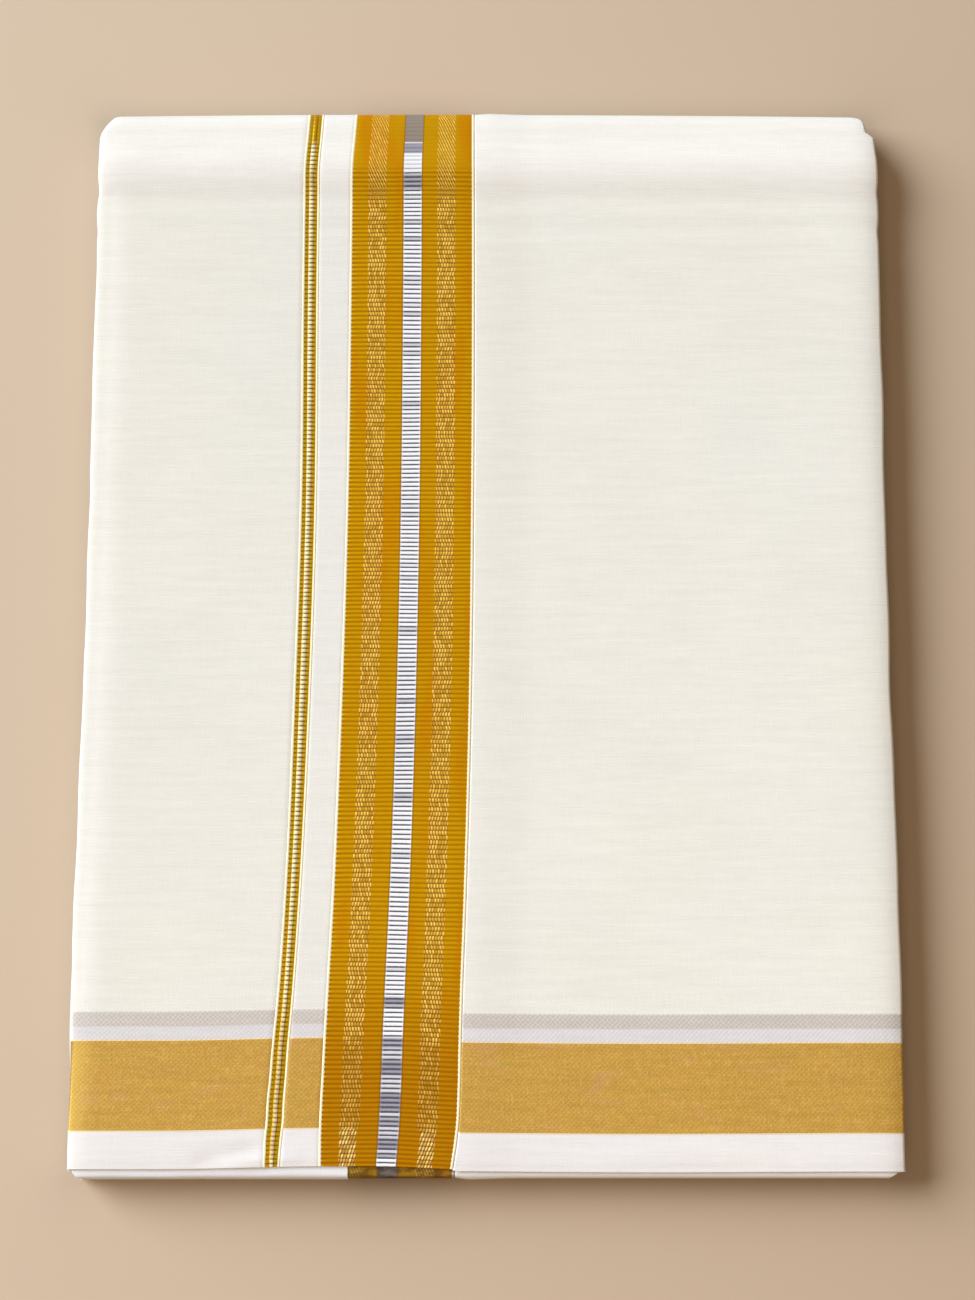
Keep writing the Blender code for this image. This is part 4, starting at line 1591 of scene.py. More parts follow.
@dataclass(frozen=True)
class OuterCloth:
    """The plain cloth of the outer length: flap, left fold, panel and right fold as one sheet."""

    form: StackForm
    path: ClothPath
    thickness: float = 0.45
    panel_depth: float = 0.62
    # how much deeper the panel's open part lies on top, and how far past the selvedge it is so
    open_depth: float = 0.6
    open_reach: float = 6.0
    fold_radius: float = 1.15
    pear_reach: float = 9.0
    lip_reach: float = 13.0
    lip_shares: Numbers = (0.15, 0.4, 0.7, 1.0)
    lip_rise: float = 0.75
    # columns lapped below a border's cord: how far in they are, and their share of the dip
    laps: Numbers = (0.75, 0.35, 0.12, -0.1)
    dip_shares: Numbers = (1.0, 0.75, 0.2, 0.0)
    dip: float = 0.32
    # how far past the selvedge the back of the flap meets the panel
    meeting: float = 5.0
    # the panel's bulge beside the selvedge, and how far from it that rises and dies away
    selvedge_bulge: float = 0.5
    bulge_rise: Pair = (0.0, 0.4)
    bulge_fall: Pair = (26.0, 2.0)
    flap_columns: int = 44
    strip_columns: int = 12
    panel_columns: int = 58
    # shares of the panel's width that get a column more, beside the selvedge
    selvedge_shares: Numbers = (0.0288, 0.0294, 0.0308, 0.0322, 0.0345)
    back_columns: int = 15
    # powers by which the back's and the panel's columns crowd where they start
    crowding: Pair = (2.0, 1.25)
    fold_steps: int = 12
    strip_width: float = 13.7
    # distance from the hem's edge where it starts to thicken and where it is thick, and stations
    edge_run: Pair = (1.5, 0.3)
    edge_stations: Numbers = (0.3, 0.6, 0.9, 1.2, 2.0)
    # run where the weft's shift has died away, and where it is whole
    shift_run: Pair = (170.0, 30.0)
    # on the flap: its least, how much more it is mid-way, and x where that rises and falls
    flap_shift: Pair = (0.35, 1.1)
    flap_shift_x: Table = ((-125.0, -60.0), (-8.0, -40.0))
    # on the panel: where it starts, and its changes with x where each starts and is whole
    panel_shift: float = -0.35
    panel_changes: Table = ((-0.45, -20.0, 60.0), (0.3, 60.0, 150.0))
    # the field's steps: on the top, from fine_start, over the far end, below and at the near end
    steps: Numbers = (3.0, 1.6, 1.1, 12.0, 1.3)
    fine_start: float = 350.0
    far_stretch: float = 34.0
    near_stretch: float = 50.0
    # how much more the weft is shifted below the flap's inner edge than on it, and x where that
    # starts and is whole; how far from the left fold and the selvedge the parts' shifts meet
    below_shift: float = 0.1
    below_x: Pair = (-60.0, -54.0)
    shift_joints: Pair = (12.0, 1.5)
    end_rows: tuple[EndRow, ...] = (
        EndRow("hem_cloth", "hem", "cotton", 0.0, 14.0, 1.4, 0.0, 0.15),
        EndRow("gold_end_band", "end_band", "gold_band", 14.0, 49.0, 2.6, 0.07),
        EndRow("silver_end_stripe", "end_stripe", "silver_stripe", 49.0, 59.8, 2.0, 0.02),
    )

    def bow(self, x: Grid, run: Grid, on_flap: bool) -> Grid:
        """Shift of the weft along the top, fading away from the hem; the flap's rises mid-way.

        Args:
            x: places across.
            run: the stations.
            on_flap: whether they are on the flap.

        Returns:
            The shift.
        """
        if on_flap:
            shape, more = self.flap_shift
            rise, fall = self.flap_shift_x
            shape = shape + more * ramp(*rise, x) * ramp(*fall, x)
        else:
            shape = self.panel_shift
            for change, start, end in self.panel_changes:
                shape = shape + change * ramp(start, end, x)
        return shape * ramp(*self.shift_run, run)[:, None]

    def section(self, path: ClothPath) -> tuple[Grid, ...]:
        """Work out the folded section at each station.

        The middle of the cloth goes level along the flap, in a half circle round the left fold,
        back below the flap, on as the panel, and in a half circle round the right fold to a lip.
        Beside the narrow border it dips below that border's cord.

        Args:
            path: the stations.

        Returns:
            The x of each column, its depth, and how far the weft is shifted there.
        """
        form = self.form
        half = self.thickness / 2.0
        outer = self.fold_radius
        middle = outer - half
        narrow_left, _, _, selvedge = form.border_edges(path)
        wrapped = path.run > form.far_top_run + form.wrapped_past
        inset = form.wrap_inset * ramp(*form.wrap_y, path.y) * wrapped
        left = (form.fold_line(Side.LEFT, path.y) + inset)[:, None]
        right = (form.fold_line(Side.RIGHT, path.y) - form.wrap_right * inset)[:, None]
        level = self.panel_depth * np.ones_like(left)
        turn = np.linspace(0.0, math.pi, self.fold_steps + 1)[None, 1:]
        turn_depth = outer - middle * np.cos(turn)

        lapped = narrow_left + np.array([self.laps[:-1]])
        flap_start = narrow_left + self.laps[-1]
        share = np.linspace(0.0, 1.0, self.flap_columns)[None, :]
        flap = flap_start + share * (left + outer - flap_start)
        left_turn = left + outer - middle * np.sin(turn)
        share = np.linspace(0.0, 1.0, self.back_columns)[None, 1:] ** self.crowding[0]
        back = left + outer + share * (selvedge - self.meeting - left - outer)
        pear = 2.0 * outer - half - half - level
        back_depth = level + half + pear * ramp(self.pear_reach, 0.0, back - left - outer)

        share = np.linspace(0.0, 1.0, self.panel_columns) ** self.crowding[1]
        share = np.union1d(share, self.selvedge_shares)[None, 1:]
        panel = selvedge - self.meeting + share * (right - outer - selvedge + self.meeting)
        past = ramp(0.0, self.open_reach, panel - selvedge)
        panel_depth = level + (self.open_depth * path.upward - level) * past + half
        bulge = ramp(*self.bulge_rise, panel - selvedge) * ramp(*self.bulge_fall, panel - selvedge)
        panel_depth = panel_depth - self.selvedge_bulge * bulge * (1.0 - path.downward)
        edge_depth = panel_depth[:, -1:] - half
        right_turn = right - outer + middle * np.sin(turn)
        lip = np.array([self.lip_shares]) * self.lip_reach
        lip_depth = edge_depth + 2.0 * outer - half - self.lip_rise * ramp(0.0, self.lip_reach, lip)

        bows = [self.bow(x, path.run, True) for x in (lapped, flap, left_turn, back, panel)]
        fold, joint = self.shift_joints
        back_bow = bows[3] + self.below_shift * ramp(*self.below_x, back)
        back_bow = back_bow + (bows[2][:, -1:] - back_bow) * ramp(fold, 0.0, back - left)
        panel_bow = self.bow(panel, path.run, False)
        below = bows[4] + self.below_shift - panel_bow
        panel_bow = panel_bow + below * ramp(joint, -joint, panel - selvedge)
        parts = (
            (lapped, half + self.dip * np.array([self.dip_shares[:-1]]), bows[0]),
            (flap, half, bows[1]),
            (left_turn, turn_depth, bows[2]),
            (back, back_depth, back_bow),
            (panel, panel_depth, panel_bow),
            (right_turn, edge_depth + turn_depth, panel_bow[:, -1:]),
            (right - outer - lip, lip_depth, panel_bow[:, -1:]),
        )
        columns = zip(*(np.broadcast_arrays(*part) for part in parts))
        return tuple(np.concatenate(values, axis=1) for values in columns)

    def add_section(
        self, draft: MeshDraft, run: Grid, raised: float = 0.0, edge: float = 0.0
    ) -> None:
        """Add the folded section over a range of stations to a mesh.

        Args:
            draft: the mesh in the making.
            run: the stations.
            raised: how much both sides are raised.
            edge: how much more they are raised at the hem's edge.
        """
        path = self.path.at(run)
        x, depth, bow = self.section(path)
        points = self.form.place(path, x, depth, bow * path.upward)
        normal = outward(points)
        half = self.thickness / 2.0 * np.ones_like(x)
        half = (half + edge * ramp(*self.edge_run, run)[:, None] + raised)[..., None]
        step = np.linalg.norm(np.diff(points, axis=1), axis=-1)
        selvedge = self.form.border_edges(path)[3]
        across = np.concatenate([np.zeros_like(step[:, :1]), np.cumsum(step, axis=1)], axis=1)
        across = across + selvedge - x[:, :1]
        draft.add_shell(points + half * normal, points - half * normal, across, run[:, None])

    def add_strip(self, draft: MeshDraft, run: Grid, raised: float = 0.0) -> None:
        """Add the cloth between the borders, dipped below their cords at both edges.

        Args:
            draft: the mesh in the making.
            run: the stations.
            raised: how much its upper side is raised.
        """
        path = self.path.at(run)
        _, narrow_right, wide_left, selvedge = self.form.border_edges(path)
        lap = np.array([self.laps])
        dips = np.array([self.dip_shares]) * self.dip
        share = np.linspace(0.0, 1.0, self.strip_columns)[None, 1:-1]
        inset = self.laps[-1]
        inner = wide_left + inset + share * (narrow_right - wide_left - 2.0 * inset)
        x = np.concatenate([wide_left + lap, inner, (narrow_right - lap)[:, ::-1]], axis=1)
        depth = np.concatenate([dips, np.zeros_like(share), dips[:, ::-1]], axis=1) - raised
        depth = np.broadcast_to(depth, x.shape)
        shift = self.bow(x, run, True) * path.upward
        outer, inner = (
            self.form.place(path, x, depth + below, shift) for below in (0.0, self.thickness)
        )
        draft.add_shell(outer, inner, selvedge - x, run[:, None])

    def flat_width(self) -> float:
        """Width of the folded section laid flat."""
        x, depth, _ = self.section(self.path.at(np.array([100.0, 200.0])))
        return float(np.hypot(np.diff(x[0]), np.diff(depth[0])).sum())

    def build(self, rests_on: Names, woven_on: tuple[Piece, ...]) -> None:
        """Build the hem, the end band, the end stripe, the field and the strip between borders.

        Args:
            rests_on: what the cloth lies on.
            woven_on: the narrow borders, which are too narrow to count as sheets themselves.
        """
        finishes = {
            "hem": CottonFinish("cotton_hem", colour=(0.875, 0.82, 0.785)),
            "end_band": TissueFinish("gold_tissue", sheen=0.05),
            "end_stripe": EndStripeFinish("silver_mesh"),
        }
        width = self.flat_width()
        for row in self.end_rows:
            run = spans((row.start, row.end, row.step))
            if row.edge_thickness:
                run = np.union1d(run, self.edge_stations)
            draft = MeshDraft()
            self.add_section(draft, run, row.raised / 2.0, row.edge_thickness / 2.0)
            self.add_strip(draft, run, row.raised / 2.0)
            nodes = tuple(f"{row.label}_{part}" for part in ("flap", "strip", "panel"))
            facts = SheetFacts(width + self.strip_width, row.end - row.start, rests_on)
            material = finishes[row.label].material()
            settle(draft.make(row.name), material, nodes, facts)

        start, end = self.end_rows[-1].end, float(self.path.run[-1])
        far = self.form.far_top_run
        places = (start, self.fine_start, far, far + self.far_stretch, end - self.near_stretch, end)
        run = spans(*zip(places, places[1:], self.steps))
        stretches = ("top", "far", "under", "near")
        draft = MeshDraft()
        self.add_section(draft, run)
        nodes = tuple(f"{stretch}_{part}" for stretch in stretches for part in ("flap", "panel"))
        facts = SheetFacts(width, end - start, rests_on, woven_on)
        material = CottonFinish("cotton_field").material()
        settle(draft.make("field_cloth"), material, nodes, facts)

        draft = MeshDraft()
        self.add_strip(draft, run)
        nodes = tuple(f"{stretch}_strip" for stretch in stretches)
        facts = SheetFacts(self.strip_width, end - start, rests_on)
        finish = CottonFinish("cotton_between_borders", colour=(0.858, 0.818, 0.745))
        settle(draft.make("strip_between_borders"), finish.material(), nodes, facts)


@dataclass(frozen=True)
class Border:
    """A woven border on the flap: cords along its edges and ribs across it."""

    form: StackForm
    path: ClothPath
    cloth: OuterCloth
    label: str
    slot: str
    nominal_width: float
    # place across from the right edge, rise of a cord or bead there, share of the ribs' height
    profile: Table
    bead_share: float = 0.0
    selvedge_drop: float = 0.0
    pitch: float = 1.8
    rib_height: float = 0.17
    # share of a rib's height that lies below the cloth's own level, and by how much ribs differ:
    # radians from rib to rib of two sines, whose product it follows
    rib_sink: float = 0.85
    rib_unevenness: float = 0.22
    rib_turns: Pair = (2.4, 0.7)
    # how far from the selvedge its drop reaches, and stations for a rib above and below
    selvedge_reach: float = 3.0
    rib_stations: Pair = (6.0, 4.0)
    # how much lower all of it lies below the stack
    under_drop: float = 0.2
    thickness: float = 0.5
    # from where along the cloth, over what run and by how much the ribs lose height
    calm: Triple = (400.0, 8.0, 0.6)
    # how far past the start of the far turn the two runs meet, and where the ribs are fine again
    seam_past: float = 32.0
    near_stretch: float = 52.0

    def edges(self, path: ClothPath) -> tuple[Grid, Grid]:
        """X of the border's left and right edges."""
        edges = self.form.border_edges(path)
        return edges[:2] if self.label == "narrow_border" else edges[2:]

    def add_grid(self, draft: MeshDraft, run: Grid) -> None:
        """Add the border over a range of stations to a mesh.

        The outer side rises by the profile's cords, and by ribs: a raised cosine over the
        distance along the cloth, lower where the border is drawn tight over the far end.

        Args:
            draft: the mesh in the making.
            run: the stations.
        """
        path = self.path.at(run)
        left, right = self.edges(path)
        place, cord, ribbed = (np.array(column)[None, :] for column in zip(*self.profile))
        x = right + place / self.nominal_width * (left - right)
        share = rib_place(place, run[:, None]) / self.pitch
        crest = 0.5 - 0.5 * np.cos(math.tau * share)
        start, length, loss = self.calm
        height = self.rib_height * ribbed * (1.0 - loss * ramp(start, start + length, run)[:, None])
        number = np.floor(share)
        first, second = self.rib_turns
        uneven = self.rib_unevenness * np.sin(number * first) * np.sin(number * second + 1.0)
        rise = cord + height * (crest * (1.0 + uneven) - self.rib_sink)
        rise = rise + self.bead_share * (1.0 - ribbed) * (np.abs(cord) < 1e-6) * crest
        drop = self.selvedge_drop * ramp(self.selvedge_reach, 0.0, place)
        rise = rise - self.under_drop * path.downward - drop
        shift = self.cloth.bow(x, run, True) * path.upward
        outer = self.form.place(path, x, -rise, shift)
        inner = self.form.place(path, x, np.full_like(x, self.thickness), shift)
        draft.add_shell(outer, inner, place, run[:, None])

    def build(self, material: Material, rests_on: Names = ()) -> tuple[Piece, ...]:
        """Build the border's upper run, over the far end, and the run below the stack.

        Args:
            material: the border's finish.
            rests_on: what the border lies on, if it is wide enough for a sheet of its own.

        Returns:
            The pieces.
        """
        pieces = []
        end = float(self.path.run[-1])
        seam = self.pitch * math.ceil((self.form.far_top_run + self.seam_past) / self.pitch)
        near = self.pitch * math.floor((end - self.near_stretch) / self.pitch)
        fine, coarse = (self.pitch / stations for stations in self.rib_stations)
        for part, run, stretches in (
            ("upper", spans((0.0, seam, fine)), ("top", "far")),
            ("lower", spans((seam, near, coarse), (near, end, fine)), ("under", "near")),
        ):
            draft = MeshDraft()
            self.add_grid(draft, run)
            facts = SheetFacts(self.nominal_width, run[-1] - run[0], rests_on)
            nodes = tuple(f"{stretch}_{self.label}" for stretch in stretches)
            piece = draft.make(f"{self.label}_{part}")
            pieces.append(settle(piece, material, nodes, facts if rests_on else None))
        return tuple(pieces)


def mirrored(half: Table, width: float) -> Table:
    """Turn one side of a border's profile into its other side."""
    return tuple((width - place, rise, share) for place, rise, share in reversed(half))


def wide_profile(finish: WideBorderFinish) -> Table:
    """Columns of the wide border: a cord at each edge, and ribs between them.

    Args:
        finish: the border's finish.

    Returns:
        Rows of (place across, rise, share of the ribs' height).
    """
    edge = (
        (0.0, -0.06, 0.0), (0.14, 0.03, 0.0), (0.5, 0.09, 0.0), (0.86, 0.02, 0.0),
        (1.04, -0.05, 0.0), (1.3, 0.0, 0.8),
    )
    low, high = finish.silver.zone
    inset, columns, step, gain = 3.2, 13, 0.4, 0.25
    places = np.linspace(inset, finish.width - inset, columns)
    places = np.unique(np.concatenate([places, [low, high, low + step, high - step]]))
    shares = 1.0 + gain * ((places > low + step / 2.0) & (places < high - step / 2.0))
    middle = tuple((float(place), 0.0, float(share)) for place, share in zip(places, shares))
    return (*edge, *middle, *mirrored(edge, finish.width))


def narrow_profile(width: float) -> Table:
    """Columns of the narrow border: cords, ribs, and a column of beads down its middle.

    Args:
        width: the border's width.

    Returns:
        Rows of (place across, rise, share of the ribs' height).
    """
    half = (
        (0.0, -0.14, 0.0), (0.14, 0.03, 0.0), (0.48, 0.09, 0.0), (0.82, 0.03, 0.0),
        (1.0, -0.05, 0.1), (1.25, 0.0, 1.0), (2.35, 0.0, 1.0), (2.5, -0.04, 0.4),
        (2.62, 0.0, 0.0),
    )
    return (*half, (width / 2.0, 0.0, 0.0), *mirrored(half, width))


@dataclass(frozen=True)
class HemPlies:
    """Plies whose cut edges show below the hem: one under the panel, one on the wrapped end."""

    form: StackForm
    path: ClothPath
    depth: float = 1.13
    inset: float = 5.0
    thickness: float = 0.3
    start: float = 0.45
    lapped_right: float = -52.4
    lapped_start: float = 39.5
    lapped_end: float = 3.0
    # depth of the lapped ply's inner side below the path
    lapped_depth: float = -0.08
    # how far the ply below the hem lies back below the wide border, and x where that starts and
    # is whole on the left and on the right
    retreat: float = 2.2
    retreat_left: Pair = (-62.0, -56.0)
    retreat_right: Pair = (-9.0, -13.0)
    # stations of the ply below the hem, and how many columns and lapped stations there are
    stations: Numbers = (0.0, 0.4, 1.2, 3.0, 6.0, 10.0, 17.0)
    columns: int = 70
    lapped_rows: int = 110
    # amount and mm for a radian of the cut edges' waves, and of the plies' own
    edge_waves: Table = ((0.16, 17.0), (0.1, 6.1))
    level_wave: Pair = (0.05, 21.0)

    def add_ply(
        self, name: str, run: Grid, ends: tuple[Grid, Grid], depth: float, retreat: float = 0.0
    ) -> Piece:
        """Make a ply with a slightly wavy cut edge.

        Args:
            name: the piece's name.
            run: the stations.
            ends: x of its left and right ends at each station.
            depth: its depth.
            retreat: how far its edge lies back below the wide border.

        Returns:
            The piece.
        """
        path = self.path.at(run)
        left, right = (end[:, None] for end in ends)
        x = right + np.linspace(0.0, 1.0, self.columns)[None, :] * (left - right)
        wave = sum(amount * np.sin(x / length) for amount, length in self.edge_waves)
        back = retreat * ramp(*self.retreat_left, x) * ramp(*self.retreat_right, x)
        wave = (wave + back) * path.upward
        amount, length = self.level_wave
        level = depth + amount * np.sin(x / length)
        outer, inner = (
            self.form.place(path, x, level + below, wave) for below in (0.0, self.thickness)
        )
        draft = MeshDraft()
        draft.add_shell(outer, inner, -x, run[:, None])
        return draft.make(name)

    def build(self, material: Material, rests_on: str) -> tuple[Piece, ...]:
        """Build the ply below the hem and the one lapped over the wrapped end.

        Args:
            material: their finish.
            rests_on: what they lie on.

        Returns:
            The two pieces.
        """
        run = self.start + np.array(self.stations)
        y = self.path.at(run).y
        left = self.form.fold_line(Side.LEFT, y) + self.inset
        right = self.form.fold_line(Side.RIGHT, y) - self.inset
        facts = SheetFacts(float(right[0] - left[0]), self.stations[-1], (rests_on,))
        piece = self.add_ply("hem_ply", run, (left, right), self.depth, self.retreat)
        below = settle(piece, material, (), facts)

        places = np.linspace(self.lapped_start, self.lapped_end, self.lapped_rows)
        run = self.path.run[-1] - places
        left = self.form.fold_line(Side.LEFT, self.path.at(run).y) + self.form.wrap_inset + 0.5
        right = np.full_like(run, self.lapped_right)
        length = self.lapped_start - self.lapped_end
        facts = SheetFacts(float(right[0] - left[0]), length, (rests_on,))
        depth = self.lapped_depth - self.thickness
        piece = self.add_ply("lapped_ply", run, (left, right), depth)
        return below, settle(piece, material, (), facts)


@dataclass(frozen=True)
class FoldedLayers:
    """The hidden lengths as one rounded solid whose sides are nested folded edges."""

    form: StackForm
    layers: int = 6
    valley: float = 2.6
    # depth below the path: below the flap and panel, open on top, and below the right fold
    cover: float = 2.6
    open_cover: float = 1.3
    open_depth: float = 0.6
    right_cover: float = 2.5
    # how far in from each fold the flat columns start, and past the selvedge the open one; how
    # far in from the right fold its lip's cover starts and is whole
    flat_start: float = 22.0
    open_start: float = 6.0
    lip: Pair = (15.5, 14.5)
    seed: int = 11
    # share of a layer's thickness, share of its crest that is reached there
    profile: Table = (
        (0.0, 0.0), (0.09, 0.40), (0.22, 0.78), (0.4, 0.97), (0.6, 0.97), (0.78, 0.78),
        (0.91, 0.40),
    )
    # least and most that a crest stands out past the others
    crest_reach: Pair = (-0.9, 0.35)
    # waves round the stack, how far a crest wavers with them
    crest_waves: Table = ((3.0, 0.35), (8.0, 0.22), (21.0, 0.13), (47.0, 0.06))
    # shift of the bound above an odd and above an even layer, as a share of a layer
    pairing: Pair = (0.10, -0.04)
    # waves round the stack, how far the layers' bounds sway with them
    sway_waves: Table = ((4.0, 0.16), (11.0, 0.10))
    # from y, to y and step of the loop's stretches along the top
    stretches: Table = ((-208.0, -170.0, 2.6), (-170.0, 150.0, 4.0), (150.0, 205.0, 2.6))
    turn_stations: int = 17
    # from the loop's last station to its first
    closing: float = 3.0

    def stations(self) -> ClothPath:
        """Make the closed loop of stations round the stack, with a dip for the tucked stretch.

        Returns:
            The loop.
        """
        form = self.form
        y = spans(*self.stretches)
        rise = ramp(form.tuck_end_y + 0.3, form.tuck_slope_end_y, y)
        top = form.near_top + (form.height - form.near_top) * rise
        ones = np.ones_like(y)
        upper = (y, top, 0.0 * ones, -ones)
        lower = (y[::-1], 0.0 * ones, 0.0 * ones, ones)
        far = [part[1:-1] for part in form.turn(1.0, self.turn_stations)]
        near = [part[-2:0:-1] for part in form.turn(-1.0, self.turn_stations)]
        joined = [np.concatenate(parts) for parts in zip(upper, far, lower, near)]
        steps = np.hypot(np.diff(joined[0]), np.diff(joined[1]))
        run = np.concatenate([[0.0], np.cumsum(steps)])
        # past the top length's end, so that the borders' lower table holds for the whole loop
        return ClothPath(run + 1000.0, *joined)

    def side_rows(self, path: ClothPath, edge: Grid, side: Side) -> list[Grid]:
        """Rows of points down one side, from the outer surface to the middle of the stack.

        Each layer is a rounded crest between two deep valleys. Crests waver along the stack by
        a sum of sines with seeded phases, and a layer's share of the height wavers with them.

        Args:
            path: the stations.
            edge: the points where the side starts.
            side: which side it is.

        Returns:
            The rows, each (stations, 3).
        """
        form = self.form
        random = np.random.default_rng(self.seed + side.value)
        low, high = self.stretches[0][0], form.far_y - form.far_round
        middle_y = np.clip(edge[:, 1], low, high)
        middle_z = np.interp(middle_y, (low, high), (form.near_top / 2.0, form.height / 2.0))
        round_all = path.run[-1] - path.run[0] + self.closing
        turn = math.tau * (path.run - path.run[0]) / round_all
        bounds = np.linspace(0.0, 1.0, self.layers + 1)[:, None] * np.ones_like(turn)
        for number in range(1, self.layers):
            sway = self.pairing[0] if number % 2 else self.pairing[1]
            phases = random.uniform(0.0, math.tau, len(self.sway_waves))
            for (waves, amount), phase in zip(self.sway_waves, phases):
                sway = sway + amount * np.sin(waves * turn + phase)
            bounds[number] += sway / self.layers
        rows = []
        for bottom, top in zip(bounds, bounds[1:]):
            crest = self.valley + random.uniform(*self.crest_reach)
            for waves, amount in self.crest_waves:
                crest = crest + amount * np.sin(waves * turn + random.uniform(0.0, math.tau))
            for share, reached in self.profile:
                inward = bottom + share * (top - bottom)
                y = edge[:, 1] + inward * (middle_y - edge[:, 1])
                z = edge[:, 2] + inward * (middle_z - edge[:, 2])
                x = form.fold_line(side, y) + side.value * (reached * crest - self.valley)
                rows.append(np.stack([x, y, z], axis=-1))
        x = form.fold_line(side, middle_y) - side.value * self.valley
        return [*rows, np.stack([x, middle_y, middle_z], axis=-1)]

    def build(self, material: Material) -> Piece:
        """Build the solid: its outer surface below the outer cloth, and both layered sides.

        Args:
            material: its finish.

        Returns:
            The piece.
        """
        form = self.form
        path = self.stations()
        left = form.fold_line(Side.LEFT, path.y)[:, None]
        right = form.fold_line(Side.RIGHT, path.y)[:, None]
        selvedge = form.border_edges(path)[3]
        cover = self.cover * np.ones_like(left)
        open_depth = self.open_cover + self.open_depth * path.upward
        edge_depth = open_depth - self.open_cover + self.right_cover
        columns = (
            (left + self.valley, cover),
            (left + self.flat_start, cover),
            (selvedge, cover),
            (selvedge + self.open_start, open_depth),
            (right - self.flat_start, open_depth),
            (right - self.lip[0], open_depth),
            (right - self.lip[1], edge_depth),
            (right - self.valley, edge_depth),
        )
        x, depth = (np.concatenate(values, axis=1) for values in zip(*columns))
        outer = form.place(path, x, depth)
        left_rows = self.side_rows(path, outer[:, 0], Side.LEFT)
        right_rows = self.side_rows(path, outer[:, -1], Side.RIGHT)
        inner = [outer[:, column] for column in range(1, outer.shape[1] - 1)]
        points = np.stack(left_rows[::-1] + inner + right_rows, axis=1)
        index = np.arange(points.shape[0] * points.shape[1]).reshape(points.shape[:2])
        after = np.roll(index, -1, axis=0)
        corners = (index[:, :-1], index[:, 1:], after[:, 1:], after[:, :-1])
        faces = np.stack(corners, axis=-1).reshape(-1, 4)
        mesh = bpy.data.meshes.new("folded_layers")
        mesh.from_pydata((points.reshape(-1, 3) * METRES).tolist(), [], faces.tolist())
        work = bmesh.new()
        work.from_mesh(mesh)
        bmesh.ops.remove_doubles(work, verts=work.verts, dist=1e-6)
        bmesh.ops.recalc_face_normals(work, faces=work.faces)
        work.to_mesh(mesh)
        work.free()
        piece = link_mesh("folded_layers", mesh, 80.0)
        return settle(piece, material, ("hidden_layers",), None)


# ---- Studio ----


@dataclass(frozen=True)
class Lamp:
    """A soft lamp that looks at the middle of the stack: a sun if it has an angle, or a panel."""

    name: str
    place: Triple
    strength: float
    colour: Colour
    size: float = 0.0
    angle: float = 0.0

    def hang(self) -> None:
        """Add the lamp, with its -Z axis towards the stack."""
        data = bpy.data.lights.new(self.name, "SUN" if self.angle else "AREA")
        if self.angle:
            data.angle = math.radians(self.angle)
        else:
            data.size = self.size
        data.energy = self.strength
        data.color = self.colour
        lamp = link(self.name, data)
        lamp.location = self.place
        x, y, z = self.place
        lamp.rotation_euler = (math.atan2(math.hypot(x, y), z), 0.0, math.atan2(x, -y))


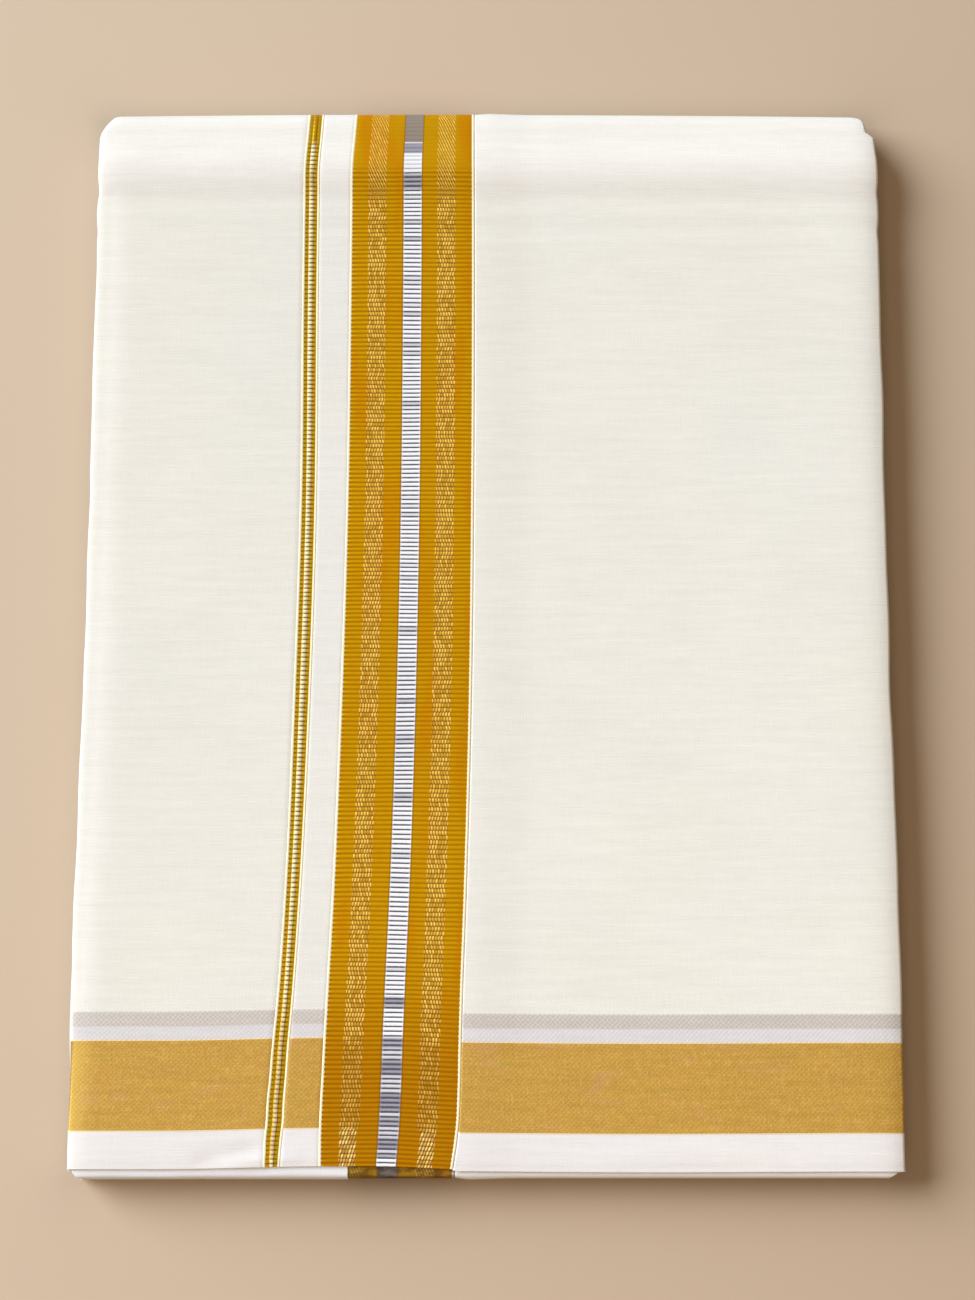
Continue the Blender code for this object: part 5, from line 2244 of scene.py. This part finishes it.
@dataclass(frozen=True)
class Studio:
    """A beige floor with a painted fall-off of the light, a soft key lamp from the far left, a fill
    above, and the camera.
    """

    floor_size: float = 8.0
    floor_light: Colour = (0.755, 0.600, 0.444)
    floor_dark: Colour = (0.496, 0.359, 0.245)
    floor_specular: float = 0.1
    # painted fall-off of the light: the light tone turns dark to the right; how it leans with y,
    # where it starts and is whole
    floor_lean: float = -0.40
    floor_range: Pair = (-0.6, 0.6)
    # the floor's grain: its noise's scale, its shade and its roughness
    grain_scale: float = 900.0
    grain_shade: Pair = (0.985, 1.015)
    grain_roughness: Pair = (0.2, 0.9)
    # half sizes of the stack, how far the shade at its foot spreads, the shade
    foot: tuple[float, float, float, float] = (0.1592, 0.2165, 0.009, 0.17)
    ambient: Colour = (1.0, 0.78, 0.55)
    ambient_strength: float = 0.132
    lens: float = 84.3
    tilt: float = 12.8
    camera_place: Triple = (0.0008, -0.2779, 1.1866)
    lamps: tuple[Lamp, ...] = (
        Lamp("key", (-1.78, 0.80, 1.07), 5.4, (0.81, 0.90, 1.0), angle=46.0),
        Lamp("fill", (0.1, -0.9, 1.7), 9.9, (1.0, 0.81, 0.60), size=1.3),
    )

    def floor(self) -> None:
        """Lay the floor: one square with a painted fall-off of the light from left to right, and
        fine grain.
        """
        half = self.floor_size / 2.0
        corners = [(-half, -half, 0.0), (half, -half, 0.0), (half, half, 0.0), (-half, half, 0.0)]
        mesh = bpy.data.meshes.new("floor")
        mesh.from_pydata(corners, [], [(0, 1, 2, 3)])
        floor = link("floor", mesh)
        mesh.materials.append(self.floor_material())

    def floor_material(self) -> Material:
        """Build the floor's finish, with a soft shade of exp(-gap / spread) round the stack.

        Returns:
            The material.
        """
        material = bpy.data.materials.new("beige_floor")
        material.use_nodes = True
        place = source(material.node_tree, "ShaderNodeTexCoord", "Object")
        x, y, _ = place.split()
        # painted fall-off of the light across the floor
        dark = y.times(self.floor_lean, x).step(*self.floor_range)
        tone = dark.mix(self.floor_light, self.floor_dark)
        *halves, spread, depth = self.foot
        gaps = [(part.size() - half).larger(0.0) for part, half in zip((x, y), halves)]
        gap = (gaps[0] * gaps[0] + gaps[1] * gaps[1]).math("SQRT")
        shade = (gap * (-1.0 / spread)).math("EXPONENT").times(-depth, 1.0)
        grain = place.noise(self.grain_scale).spread(*self.grain_shade)
        feeds = {
            "Base Color": grain.shade(shade.shade(tone)),
            "Roughness": grain.spread(*self.grain_roughness),
            "Specular IOR Level": self.floor_specular,
        }
        feed(material.node_tree.nodes["Principled BSDF"], feeds)
        return material

    def light(self) -> None:
        """Hang the lamps and set the even light round them."""
        for lamp in self.lamps:
            lamp.hang()
        world = bpy.data.worlds.new("studio")
        world.use_nodes = True
        light = {"Color": opaque(self.ambient), "Strength": self.ambient_strength}
        feed(world.node_tree.nodes["Background"], light)
        scene = bpy.context.scene
        scene.world = world
        scene.view_settings.view_transform = "Standard"

    def camera(self) -> None:
        """Set up the camera, nearly straight above and leaning back a little."""
        data = bpy.data.cameras.new("camera")
        data.lens = self.lens
        data.sensor_width = 36.0
        data.sensor_fit = "AUTO"
        data.clip_start = 0.01
        camera = link("camera", data)
        camera.location = self.camera_place
        camera.rotation_euler = (math.radians(self.tilt), 0.0, 0.0)
        bpy.context.scene.camera = camera


def main() -> None:
    """Build the stack from its hidden layers out, then the studio round it."""
    logging.basicConfig(level=logging.INFO, format="%(name)s: %(message)s")
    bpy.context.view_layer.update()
    form = StackForm()
    path = form.outer_length()

    layers = FoldedLayers(form).build(LayersFinish("cotton_folds").material())
    # the plies' cotton is lighter and cooler than the cloth: painted light on the plies below the
    # hem, a little darker where wrapped round the near end
    plain = CottonFinish("cotton_plies", colour=(0.94, 0.93, 0.94), wrapped=(0.89, 0.875, 0.88))
    plies = HemPlies(form, path).build(plain.material(), layers.name)
    rests_on = (layers.name, *(ply.name for ply in plies))
    cloth = OuterCloth(form, path)

    finish = WideBorderFinish("gold_wide_border", sheen=0.0, specular=0.0)
    profile = wide_profile(finish)
    wide = Border(form, path, cloth, "wide_border", "gold_border", finish.width, profile, 0.0, 0.1)
    wide.build(finish.material(), rests_on)
    finish = NarrowBorderFinish("gold_narrow_border", sheen=0.0, specular=0.0)
    profile = narrow_profile(finish.width)
    narrow = Border(form, path, cloth, "narrow_border", "gold_line", finish.width, profile, 0.1)
    cloth.build(rests_on, narrow.build(finish.material()))

    studio = Studio()
    studio.floor()
    studio.light()
    studio.camera()


if __name__ == "__main__":
    main()
